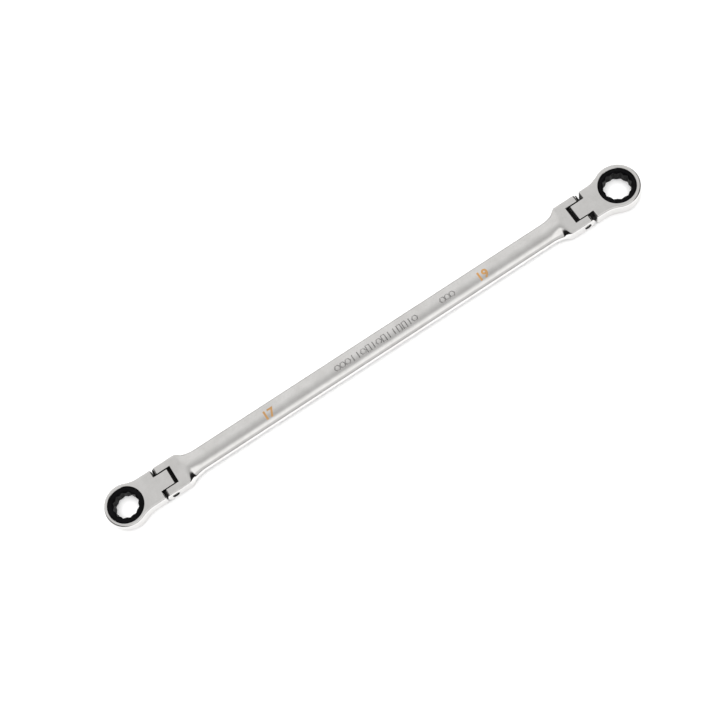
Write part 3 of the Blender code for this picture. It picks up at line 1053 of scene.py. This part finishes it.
def grown(name: str, tree: bpy.types.NodeTree, inputs: dict[str, object]) -> bpy.types.Object:
    """Run a node tree once and keep its result as a plain mesh.

    Args:
        name: The new piece's name.
        tree: The node tree.
        inputs: Values for the tree's named inputs.

    Returns:
        The new piece, with no modifier on it.
    """
    obj = bpy.data.objects.new(name, bpy.data.meshes.new(name))
    bpy.context.scene.collection.objects.link(obj)
    modifier = obj.modifiers.new("grown", "NODES")
    modifier.node_group = tree
    for item in tree.interface.items_tree:
        if item.in_out == "INPUT" and item.name in inputs:
            modifier[item.identifier] = inputs[item.name]
    return settled(obj)


@dataclass
class FlexPin:
    """The pressed pin that the head turns on, with its two washers.

    Attributes:
        sizes: The end's sizes.
        radius: The pin's radius.
        crown: How far its ends are rounded.
        washer_fit: The gap between the pin and its washers.
        washer_bevel: The bevel of the washers' rims.
    """

    sizes: EndSizes
    radius: float = 2.35 * MM
    crown: float = 0.5 * MM
    washer_fit: float = 0.2 * MM
    washer_bevel: float = 0.05 * MM

    def build(self) -> list[bpy.types.Object]:
        """Shape the pin and its washers, put them in place and dress them."""
        sizes = self.sizes
        edge = self.crown
        low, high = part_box(f"{sizes.name}_flex_pin")
        reach = (high.y - low.y) / 2.0
        end = arc((self.radius - edge, reach - edge), edge, 90.0, 0.0, 6)
        dimple = [(0.05 * MM, reach - 0.35 * MM), (0.9 * MM, reach - 0.3 * MM)]
        upper = dimple + [(1.1 * MM, reach)] + end
        profile = upper + [(radius, -height) for radius, height in reversed(upper)]
        pin = turned(f"{sizes.name}_pin", profile, 64)
        spot = sizes.matrix() @ Matrix.Translation((sizes.pin, 0.0, 0.0)) @ SIDEWAYS
        placed(smoothed(pin, math.radians(30.0)), spot)
        dress(pin, GROUND_STEEL, "handle", [f"{sizes.name}_flex_pin"])
        made = [pin]
        for label in ("left", "right"):
            node = f"{sizes.name}_washer_{label}"
            low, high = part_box(node)
            half = (high.y - low.y) / 2.0
            outer = (high.z - low.z) / 2.0
            inner = self.radius + self.washer_fit
            bevel = self.washer_bevel
            section = [
                (inner, half),
                (outer - bevel, half),
                (outer, half - bevel),
                (outer, bevel - half),
                (outer - bevel, -half),
                (inner, -half),
            ]
            washer = turned(f"{node}_ground", section, 96, closed=True)
            middle = (low + high) / 2.0
            placed(smoothed(washer), Matrix.Translation(middle) @ SIDEWAYS)
            made.append(dress(washer, SPRING_STEEL, "handle", [node]))
        return made


@dataclass
class PawlSet:
    """The parts inside the neck that stay as the part has them, with their finishes."""

    sizes: EndSizes

    def build(self) -> list[bpy.types.Object]:
        """Dress the pawls, their springs and the snap ring."""
        made = []
        for piece, finish in (
            ("pawl_upper", PAWL_STEEL),
            ("pawl_lower", PAWL_STEEL),
            ("spring_upper", SPRING_STEEL),
            ("spring_lower", SPRING_STEEL),
            ("snap_ring", SPRING_STEEL),
        ):
            node = frame["nodes"][f"{self.sizes.name}_{piece}"]
            node.data.materials.clear()
            node.data.materials.append(finish.material())
            made.append(node)
        return made


# ---------------------------------------------------------------- the handle


@dataclass(frozen=True)
class Section:
    """Half sizes of the handle's section at one place.

    Attributes:
        width: Half the width across Y at mid height.
        thick: Half the thickness at the middle.
        corner_y: How far out the corner lies.
        corner_z: How high the corner lies.
        radius: The corner's radius.
    """

    width: float
    thick: float
    corner_y: float
    corner_z: float
    radius: float

    def quarter(self) -> list[Point]:
        """Points from the side, round the upper corner, to the middle of the top."""
        side_steps, corner_steps, top_steps = 8, 8, 14
        side_stop = self.corner_z - self.radius
        top_stop = self.corner_y - self.radius
        points = []
        for index in range(side_steps):
            z = side_stop * index / side_steps
            points.append((self.side_y(z), z))
        start = Vector((self.side_y(side_stop), side_stop))
        stop = Vector((top_stop, self.top_z(top_stop)))
        corner = Vector((self.corner_y, self.corner_z))
        weight = math.cos((corner - start).angle(stop - corner) / 2.0)
        for index in range(corner_steps + 1):
            part = index / corner_steps
            pull = 2.0 * part * (1.0 - part) * weight
            near, far = (1.0 - part) ** 2, part ** 2
            bow = (start * near + corner * pull + stop * far) / (near + pull + far)
            points.append((bow.x, bow.y))
        for index in range(1, top_steps + 1):
            y = top_stop * (1.0 - index / top_steps)
            points.append((y, self.top_z(y)))
        return points

    def side_y(self, z: float) -> float:
        """How far out the side lies at a height."""
        return self.width - (self.width - self.corner_y) * (z / self.corner_z) ** 2

    def top_z(self, y: float) -> float:
        """How high the top lies at a distance from the middle."""
        return self.thick - (self.thick - self.corner_z) * (y / self.corner_y) ** 2

    def ring(self, x: float, middle: float) -> Ring:
        """The whole section at a place along the handle."""
        quarter = self.quarter()
        right = quarter + [(-y, z) for y, z in reversed(quarter[:-1])]
        whole = right + [(y, -z) for y, z in reversed(right[1:-1])]
        return [Vector((x, y, middle + z)) for y, z in whole]


@dataclass
class HandleForging:
    """The forged bar with a fork at each end.

    Attributes:
        ends: Both ends' sizes.
        neck: Half the fork's width.
        slot_half: Half the slot's width.
        slot_bottom: The distance from an opening to the slot's bottom.
        fork_edge: The radius of the fork's outer edges.
        slot_edge: The radius of the slot's edges.
        pin_mouth: The chamfer of the pin's holes.
        prong_overlap: How far a prong reaches into the body behind it.
        tuck: How far a prong's faces lie inside the body's, so that they join cleanly.
        bar_width: Half the bar's width.
        bar_thick: Half the bar's thickness.
        bar_corner: Where the bar's corner lies, across and up.
        bar_radius: The radius of the bar's corner.
        narrowing: Where the fork starts and stops narrowing to the bar.
        narrowing_power: How early the narrowing sets in, the more the smaller.
        thinning: Where its middle starts and stops thinning.
        dropping: Where its corners start and stop dropping to the bar's.
        ring_step: The distance between two rings of the fork's skin.
        ring_count: The number of those rings behind the slot's edge.
    """

    ends: tuple[EndSizes, EndSizes]
    neck: float = 12.5 * MM
    slot_half: float = 6.9 * MM
    slot_bottom: float = 40.3 * MM
    fork_edge: float = 0.9 * MM
    slot_edge: float = 0.3 * MM
    pin_mouth: float = 0.25 * MM
    prong_overlap: float = 1.5 * MM
    tuck: float = 0.004 * MM
    bar_width: float = 9.1 * MM
    bar_thick: float = 4.2 * MM
    bar_corner: Point = (7.7 * MM, 3.3 * MM)
    bar_radius: float = 1.1 * MM
    narrowing: Point = (46.5 * MM, 61.0 * MM)
    narrowing_power: float = 0.72
    thinning: Point = (47.5 * MM, 61.0 * MM)
    dropping: Point = (47.0 * MM, 53.0 * MM)
    ring_step: float = 0.5 * MM
    ring_count: int = 50

    def section(self, end: EndSizes, distance: float) -> Section:
        """The body's section at a distance from an end's opening."""
        narrow = (distance - self.narrowing[0]) / (self.narrowing[1] - self.narrowing[0])
        narrow = smooth_step(max(narrow, 0.0) ** self.narrowing_power)
        thin = smooth_step((distance - self.thinning[0]) / (self.thinning[1] - self.thinning[0]))
        drop = (distance - self.dropping[0]) / (self.dropping[1] - self.dropping[0])
        drop = smooth_step(drop)
        width = mix(self.neck, self.bar_width, narrow)
        thick = mix(end.half, self.bar_thick, thin)
        corner_y = width - (self.bar_width - self.bar_corner[0]) * drop
        corner_z = mix(end.half, self.bar_corner[1], drop)
        return Section(
            width=width,
            thick=thick,
            corner_y=corner_y,
            corner_z=min(corner_z, thick),
            radius=mix(self.fork_edge, self.bar_radius, drop),
        )

    def body(self) -> bpy.types.Object:
        """The bar and the solid part of both forks, from slot bottom to slot bottom."""
        small, large = self.ends
        return lofted("handle_forging", self.end_rings(small) + self.end_rings(large)[::-1])

    def end_rings(self, end: EndSizes) -> list[Ring]:
        """One end's rings, from the rounded edge of its slot bottom to the plain bar."""
        edge, steps = self.slot_edge, 4
        rings = []
        for index in range(steps + 1):
            angle = math.radians(90.0) * index / steps
            distance = self.slot_bottom + edge * (1.0 - math.cos(angle))
            plain = self.section(end, distance)
            thick = plain.thick - edge * (1.0 - math.sin(angle))
            front = Section(plain.width, thick, plain.corner_y, thick, plain.radius)
            rings.append(front.ring(end.centre.x + end.facing * distance, end.centre.z))
        for step in range(self.ring_count):
            distance = self.slot_bottom + 2.0 * self.ring_step + step * self.ring_step
            x = end.centre.x + end.facing * distance
            rings.append(self.section(end, distance).ring(x, end.centre.z))
        return rings

    def prong(self, end: EndSizes, side: float) -> bpy.types.Object:
        """One prong: a nose rounded about the pin, with rounded edges."""
        outer = self.neck - self.tuck
        steps = 6
        rings = []
        for radius, outwards in ((self.slot_edge, False), (self.fork_edge, True)):
            turns = range(steps, -1, -1) if outwards else range(steps + 1)
            for index in turns:
                angle = math.radians(90.0) * (index / steps)
                shrink = radius * (1.0 - math.sin(angle))
                reach = radius * (1.0 - math.cos(angle))
                y = outer - reach if outwards else self.slot_half + reach
                rings.append(self.prong_ring(end, shrink, y))
        prong = lofted("prong", rings)
        local = Matrix.Diagonal((1.0, side, 1.0, 1.0))
        return placed(prong, end.matrix() @ local)

    def prong_ring(self, end: EndSizes, shrink: float, y: float) -> Ring:
        """The prong's side outline, drawn in by a distance, at a place across it."""
        radius = end.half - self.tuck - shrink
        stop = self.slot_bottom + self.prong_overlap
        nose = swinging_end(-end.pin, radius, end.nose - shrink, 20)
        return [Vector((x, y, z)) for x, z in mirrored([(stop, radius)] + [(-x, z) for x, z in nose])]

    def pin_holes(self, end: EndSizes) -> bpy.types.Object:
        """The cutter for the pin's holes, with a chamfer at both mouths."""
        hole = turned("pin_hole", flared(PIN_HOLE, self.pin_mouth, self.neck), 64)
        spot = end.matrix() @ Matrix.Translation((end.pin, 0.0, 0.0)) @ SIDEWAYS
        return placed(hole, spot)

    def top_height(self, y: float) -> float:
        """How high the plain bar's top lies, in the part's frame."""
        bar = self.section(self.ends[0], 2.0 * self.narrowing[1])
        return self.ends[0].centre.z + bar.top_z(y)

    def build(self) -> list[bpy.types.Object]:
        """Shape the handle and dress it."""
        handle = self.body()
        prongs = [self.prong(end, side) for end in self.ends for side in (-1.0, 1.0)]
        combined(handle, prongs, "UNION")
        combined(handle, [self.pin_holes(end) for end in self.ends], "DIFFERENCE")
        smoothed(handle)
        dress(handle, BAR_CHROME, "handle", ["handle_bar"])
        # The slots, pin holes and nose fronts get the near-black painted shade.
        return [shade_painted(handle, self.inside)]

    def inside(self, middle: Vector, normal: Vector) -> bool:
        """Whether a face lies in a slot, in a pin hole or on the front of a nose, where shade is painted."""
        for end in self.ends:
            spot = end.matrix().inverted() @ middle
            facing = end.matrix().inverted().to_3x3() @ normal
            if spot.x < self.slot_bottom + 0.1 * MM:
                in_hole = math.hypot(spot.x - end.pin, spot.z) < PIN_HOLE + 0.15 * MM
                in_slot = abs(spot.y) < self.slot_half + 0.06 * MM and abs(facing.z) < 0.5
                return in_hole or in_slot or facing.x < -0.72
        return False


@dataclass
class HandleMarks:
    """The size numerals in enamel and the etched rows between them.

    Attributes:
        handle: The handle that carries them.
        numeral_height: The numerals' height.
        numeral_weight: How much their strokes are thickened on each side.
        numeral_drop: How far their middle lies towards -Y from the bar's.
        proud: How far the enamel stands above the bar.
        sunk: How far it reaches below the bar's top.
        numeral_places: Where each end's numeral sits, from its opening.
        cell_height: The height of the etched shapes.
        stroke: The width of their lines.
        long_row: The long row's start from the small opening, its shapes and their pitch.
        short_row: The same for the short row.
    """

    handle: HandleForging
    numeral_height: float = 6.7 * MM
    numeral_weight: float = 0.3 * MM
    numeral_drop: float = 0.9 * MM
    proud: float = 0.03 * MM
    sunk: float = 0.15 * MM
    numeral_places: tuple[float, float] = (119.5 * MM, 117.5 * MM)
    cell_height: float = 5.2 * MM
    stroke: float = 0.75 * MM
    long_row: tuple[float, int, float] = (178.5 * MM, 16, 4.4 * MM)
    short_row: tuple[float, int, float] = (268.5 * MM, 3, 4.0 * MM)

    def numeral(self, end: EndSizes, text: str, distance: float) -> bpy.types.Object:
        """A size numeral, laid onto the crown of the bar.

        Args:
            end: The end whose size it gives.
            text: The digits.
            distance: How far from the end's opening it sits.

        Returns:
            The dressed piece.
        """
        name = f"{end.name}_size_numeral"
        size_for_height = 1.42
        curve = bpy.data.curves.new(name, "FONT")
        curve.body = text
        curve.size = self.numeral_height * size_for_height
        curve.align_x = "CENTER"
        curve.align_y = "CENTER"
        curve.extrude = 0.1 * MM
        curve.offset = self.numeral_weight
        curve.resolution_u = 5
        holder = bpy.data.objects.new(name, curve)
        bpy.context.scene.collection.objects.link(holder)
        graph = bpy.context.evaluated_depsgraph_get()
        mesh = bpy.data.meshes.new_from_object(holder.evaluated_get(graph))
        bpy.data.objects.remove(holder, do_unlink=True)
        shape = bmesh.new()
        shape.from_mesh(mesh)
        bmesh.ops.remove_doubles(shape, verts=shape.verts, dist=WELD)
        cuts, spacing = 10, 0.5 * MM
        for step in range(-cuts, cuts + 1):
            everything = list(shape.verts) + list(shape.edges) + list(shape.faces)
            bmesh.ops.bisect_plane(
                shape, geom=everything, plane_co=(0.0, step * spacing, 0.0), plane_no=(0.0, 1.0, 0.0)
            )
        x = end.centre.x + end.facing * distance
        for vert in shape.verts:
            y = vert.co.y - self.numeral_drop
            depth = self.proud if vert.co.z > 0.0 else -self.sunk
            vert.co = (vert.co.x + x, y, self.handle.top_height(y) + depth)
        piece = smoothed(mesh_object(name, shape))
        return dress(piece, MARK_ENAMEL, "handle")

    def band_tree(self) -> bpy.types.NodeTree:
        """The node tree that lays a row of plain etched shapes along the bar."""
        tree = bpy.data.node_groups.new("etched_band", "GeometryNodeTree")
        face = tree.interface
        for name, kind in (
            ("Cells", "NodeSocketInt"),
            ("Pitch", "NodeSocketFloat"),
            ("Cell Height", "NodeSocketFloat"),
            ("Stroke", "NodeSocketFloat"),
            ("Crown Drop", "NodeSocketFloat"),
            ("Top Height", "NodeSocketFloat"),
            ("Start", "NodeSocketFloat"),
            ("Finish", "NodeSocketMaterial"),
        ):
            face.new_socket(name, in_out="INPUT", socket_type=kind)
        face.new_socket("Geometry", in_out="OUTPUT", socket_type="NodeSocketGeometry")
        bench = Bench(tree)
        given = bench.add("NodeGroupInput").outputs
        stroke = bench.add(
            "GeometryNodeCurvePrimitiveQuadrilateral",
            {"Width": given["Stroke"], "Height": 0.1 * MM},
        )
        wide = bench.maths("MULTIPLY", given["Pitch"], 0.66)
        frame_line = bench.add(
            "GeometryNodeCurvePrimitiveQuadrilateral",
            {"Width": wide, "Height": given["Cell Height"]},
        )
        fine = bench.add("GeometryNodeResampleCurve", {"Curve": frame_line.outputs[0], "Count": 44})
        hollow = bench.add(
            "GeometryNodeCurveToMesh",
            {"Curve": fine.outputs[0], "Profile Curve": stroke.outputs[0]},
        )
        half = bench.maths("MULTIPLY", given["Cell Height"], 0.5)
        low = bench.add("ShaderNodeCombineXYZ", {"Y": bench.maths("MULTIPLY", half, -1.0)})
        high = bench.add("ShaderNodeCombineXYZ", {"Y": half})
        line = bench.add(
            "GeometryNodeCurvePrimitiveLine", {"Start": low.outputs[0], "End": high.outputs[0]}
        )
        long_line = bench.add("GeometryNodeResampleCurve", {"Curve": line.outputs[0], "Count": 14})
        bar = bench.add(
            "GeometryNodeCurveToMesh",
            {
                "Curve": long_line.outputs[0],
                "Profile Curve": stroke.outputs[0],
                "Fill Caps": True,
            },
        )
        ring_line = bench.add(
            "GeometryNodeCurvePrimitiveCircle",
            {"Resolution": 6, "Radius": bench.maths("MULTIPLY", given["Cell Height"], 0.42)},
        )
        ring_fine = bench.add("GeometryNodeResampleCurve", {"Curve": ring_line.outputs[0], "Count": 36})
        hexagon = bench.add(
            "GeometryNodeCurveToMesh",
            {"Curve": ring_fine.outputs[0], "Profile Curve": stroke.outputs[0]},
        )
        choice = bench.add("GeometryNodeGeometryToInstance")
        for shape in (bar, hexagon, hollow):
            tree.links.new(shape.outputs[0], choice.inputs[0])
        spots = bench.add(
            "GeometryNodeMeshLine",
            {
                "Count": given["Cells"],
                "Start Location": bench.add(
                    "ShaderNodeCombineXYZ", {"X": given["Start"], "Z": given["Top Height"]}
                ).outputs[0],
                "Offset": bench.add("ShaderNodeCombineXYZ", {"X": given["Pitch"]}).outputs[0],
            },
        )
        index = bench.add("GeometryNodeInputIndex").outputs[0]
        which = bench.add("FunctionNodeRandomValue", {"Seed": 4}, data_type="INT")
        which.inputs[4].default_value = 0
        which.inputs[5].default_value = 2
        tree.links.new(index, which.inputs["ID"])
        cells = bench.add(
            "GeometryNodeInstanceOnPoints",
            {
                "Points": spots.outputs[0],
                "Instance": choice.outputs[0],
                "Pick Instance": True,
                "Instance Index": which.outputs[2],
            },
        )
        real = bench.add("GeometryNodeRealizeInstances", {"Geometry": cells.outputs[0]})
        place = bench.add("GeometryNodeInputPosition").outputs[0]
        parts = bench.add("ShaderNodeSeparateXYZ", {0: place})
        square = bench.maths("MULTIPLY", parts.outputs["Y"], parts.outputs["Y"])
        fall = bench.maths("MULTIPLY", bench.maths("MULTIPLY", square, given["Crown Drop"]), -1.0)
        offset = bench.add("ShaderNodeCombineXYZ", {"Z": fall})
        bent = bench.add(
            "GeometryNodeSetPosition", {"Geometry": real.outputs[0], "Offset": offset.outputs[0]}
        )
        painted = bench.add(
            "GeometryNodeSetMaterial", {"Geometry": bent.outputs[0], "Material": given["Finish"]}
        )
        out = bench.add("NodeGroupOutput")
        tree.links.new(painted.outputs[0], out.inputs[0])
        return tree

    def band(
        self, name: str, tree: bpy.types.NodeTree, row: tuple[float, int, float]
    ) -> bpy.types.Object:
        """One etched row along the top of the bar.

        Args:
            name: The row's name.
            tree: The node tree that makes it.
            row: Its start from the small opening, its number of shapes and their pitch.

        Returns:
            The dressed piece.
        """
        handle = self.handle
        start, cells, pitch = row
        corner_y, corner_z = handle.bar_corner
        piece = grown(
            name,
            tree,
            {
                "Cells": cells,
                "Pitch": pitch,
                "Cell Height": self.cell_height,
                "Stroke": self.stroke,
                "Crown Drop": (handle.bar_thick - corner_z) / corner_y ** 2,
                "Top Height": handle.top_height(0.0) - 0.03 * MM,
                "Start": handle.ends[0].centre.x + start,
                "Finish": ETCHED_STEEL.material(),
            },
        )
        shape = bmesh.new()
        shape.from_mesh(piece.data)
        bmesh.ops.recalc_face_normals(shape, faces=shape.faces)
        shape.to_mesh(piece.data)
        shape.free()
        return dress(piece, ETCHED_STEEL, "handle")

    def build(self) -> list[bpy.types.Object]:
        """Lay both numerals and both etched rows."""
        small, large = self.handle.ends
        tree = self.band_tree()
        return [
            self.numeral(small, "17", self.numeral_places[0]),
            self.numeral(large, "19", self.numeral_places[1]),
            self.band("etched_row_long", tree, self.long_row),
            self.band("etched_row_short", tree, self.short_row),
        ]


# ---------------------------------------------------------------- the studio


@dataclass
class Studio:
    """The floor, the light round the wrench and the camera.

    Attributes:
        floor_side: The floor's side.
        canopy_side: The overhead light's side.
        canopy_height: How high it hangs.
        canopy_power: Its power in watts.
        floor_glow: How strongly the floor glows by itself.
        lens: The camera's focal length in millimetres.
        sensor: The sensor's width in millimetres.
        camera_place: Where the camera stands.
        camera_turn: The camera's XYZ turn in radians.
    """

    floor_side: float = 6.0
    canopy_side: float = 4.0
    canopy_height: float = 3.0
    canopy_power: float = 125.0
    floor_glow: float = 0.15
    lens: float = 82.19
    sensor: float = 36.0
    camera_place: tuple[float, float, float] = (-0.08873, -0.41747, 1.10629)
    camera_turn: tuple[float, float, float] = (0.3374, 0.1437, -0.5630)

    def floor(self) -> None:
        """A plain white table that glows a little, as a lit sweep does."""
        half = self.floor_side / 2.0
        shape = bmesh.new()
        corners = [(-half, -half), (half, -half), (half, half), (-half, half)]
        shape.faces.new([shape.verts.new((x, y, 0.0)) for x, y in corners])
        floor = mesh_object("studio_floor", shape)
        material = bpy.data.materials.new("white_table")
        material.use_nodes = True
        shader = material.node_tree.nodes["Principled BSDF"]
        shader.inputs["Base Color"].default_value = (0.9, 0.9, 0.9, 1.0)
        shader.inputs["Roughness"].default_value = 0.9
        shader.inputs["Specular IOR Level"].default_value = 0.0
        shader.inputs["Emission Color"].default_value = (1.0, 1.0, 1.0, 1.0)
        shader.inputs["Emission Strength"].default_value = self.floor_glow
        floor.data.materials.append(material)

    def spread(
        self, bench: Bench, value: bpy.types.NodeSocket, start_stop: Point, power: Point
    ) -> bpy.types.NodeSocket:
        """Fade a light's power from one value to another over a range of directions.

        Args:
            bench: The sky's bench.
            value: The direction's part along one axis.
            start_stop: Where the fade starts and stops.
            power: The power at the start and at the stop.

        Returns:
            The power's socket.
        """
        node = bench.add(
            "ShaderNodeMapRange",
            {"Value": value, 1: start_stop[0], 2: start_stop[1], 3: power[0], 4: power[1]},
            interpolation_type="SMOOTHSTEP",
        )
        return node.outputs[0]

    def light(self) -> None:
        """A bright strip overhead in soft grey, dark towards the horizon and both sides."""
        world = bpy.data.worlds.new("studio_light")
        world.use_nodes = True
        bpy.context.scene.world = world
        bench = Bench(world.node_tree)
        way = bench.add("ShaderNodeTexCoord").outputs["Generated"]
        parts = bench.add("ShaderNodeSeparateXYZ", {0: way}).outputs
        strip = self.spread(bench, parts["Y"], (0.15, 0.02), (0.55, 1.15))
        front = self.spread(bench, parts["Y"], (-0.18, -0.45), (0.0, -0.4))
        back = self.spread(bench, parts["Y"], (0.15, 0.5), (0.0, 0.3))
        rise = self.spread(bench, parts["Z"], (0.14, 0.3), (0.0, 1.0))
        behind = bench.maths("MAXIMUM", bench.maths("SUBTRACT", parts["Y"], 0.2), 0.0)
        aside = bench.maths("SUBTRACT", bench.maths("ABSOLUTE", parts["X"]), behind)
        sides = self.spread(bench, aside, (0.3, 0.56), (1.0, 0.01))
        power = bench.maths("ADD", bench.maths("ADD", strip, front), back)
        power = bench.maths("MULTIPLY", power, rise)
        power = bench.maths("MULTIPLY", power, sides)
        sky = world.node_tree.nodes["Background"]
        sky.inputs["Color"].default_value = (1.0, 0.995, 0.985, 1.0)
        world.node_tree.links.new(power, sky.inputs["Strength"])
        bpy.context.scene.view_settings.view_transform = "Standard"

    def canopy(self) -> None:
        """A wide soft light overhead that whitens the table and stays out of reflections."""
        data = bpy.data.lights.new("canopy_light", "AREA")
        data.size = self.canopy_side
        data.energy = self.canopy_power
        canopy = bpy.data.objects.new("canopy_light", data)
        canopy.location = (0.0, 0.0, self.canopy_height)
        canopy.visible_glossy = False
        bpy.context.scene.collection.objects.link(canopy)

    def camera(self) -> None:
        """The camera, above and in front of the wrench."""
        data = bpy.data.cameras.new("camera")
        data.sensor_width = self.sensor
        data.lens = self.lens
        data.clip_start = 0.01
        camera = bpy.data.objects.new("camera", data)
        camera.location = self.camera_place
        camera.rotation_euler = self.camera_turn
        bpy.context.scene.collection.objects.link(camera)
        bpy.context.scene.camera = camera

    def build(self) -> None:
        """Set up the floor, the light and the camera."""
        self.floor()
        self.light()
        self.canopy()
        self.camera()


def main() -> None:
    """Build the wrench from its ends inwards, then the studio round it."""
    logging.basicConfig(level=logging.INFO, format="%(name)s: %(message)s")
    small = EndSizes.measured(
        "small", 17.0 * MM, 19.5, shoulder=27.1 * MM, brow=1.2 * MM, nose=6.5 * MM, blend=22.0 * MM
    )
    large = EndSizes.measured(
        "large", 19.0 * MM, 12.0, shoulder=25.8 * MM, brow=1.3 * MM, nose=6.6 * MM, blend=24.0 * MM
    )
    handle = HandleForging((small, large))
    kinds = (RatchetHead, DriveGear, FlexPin, PawlSet)
    makers = [kind(sizes) for sizes in (small, large) for kind in kinds]
    for maker in [*makers, handle, HandleMarks(handle)]:
        for piece in maker.build():
            LOG.info("%s: %d faces", piece.name, len(piece.data.polygons))
    Studio().build()


if __name__ == "__main__":
    main()
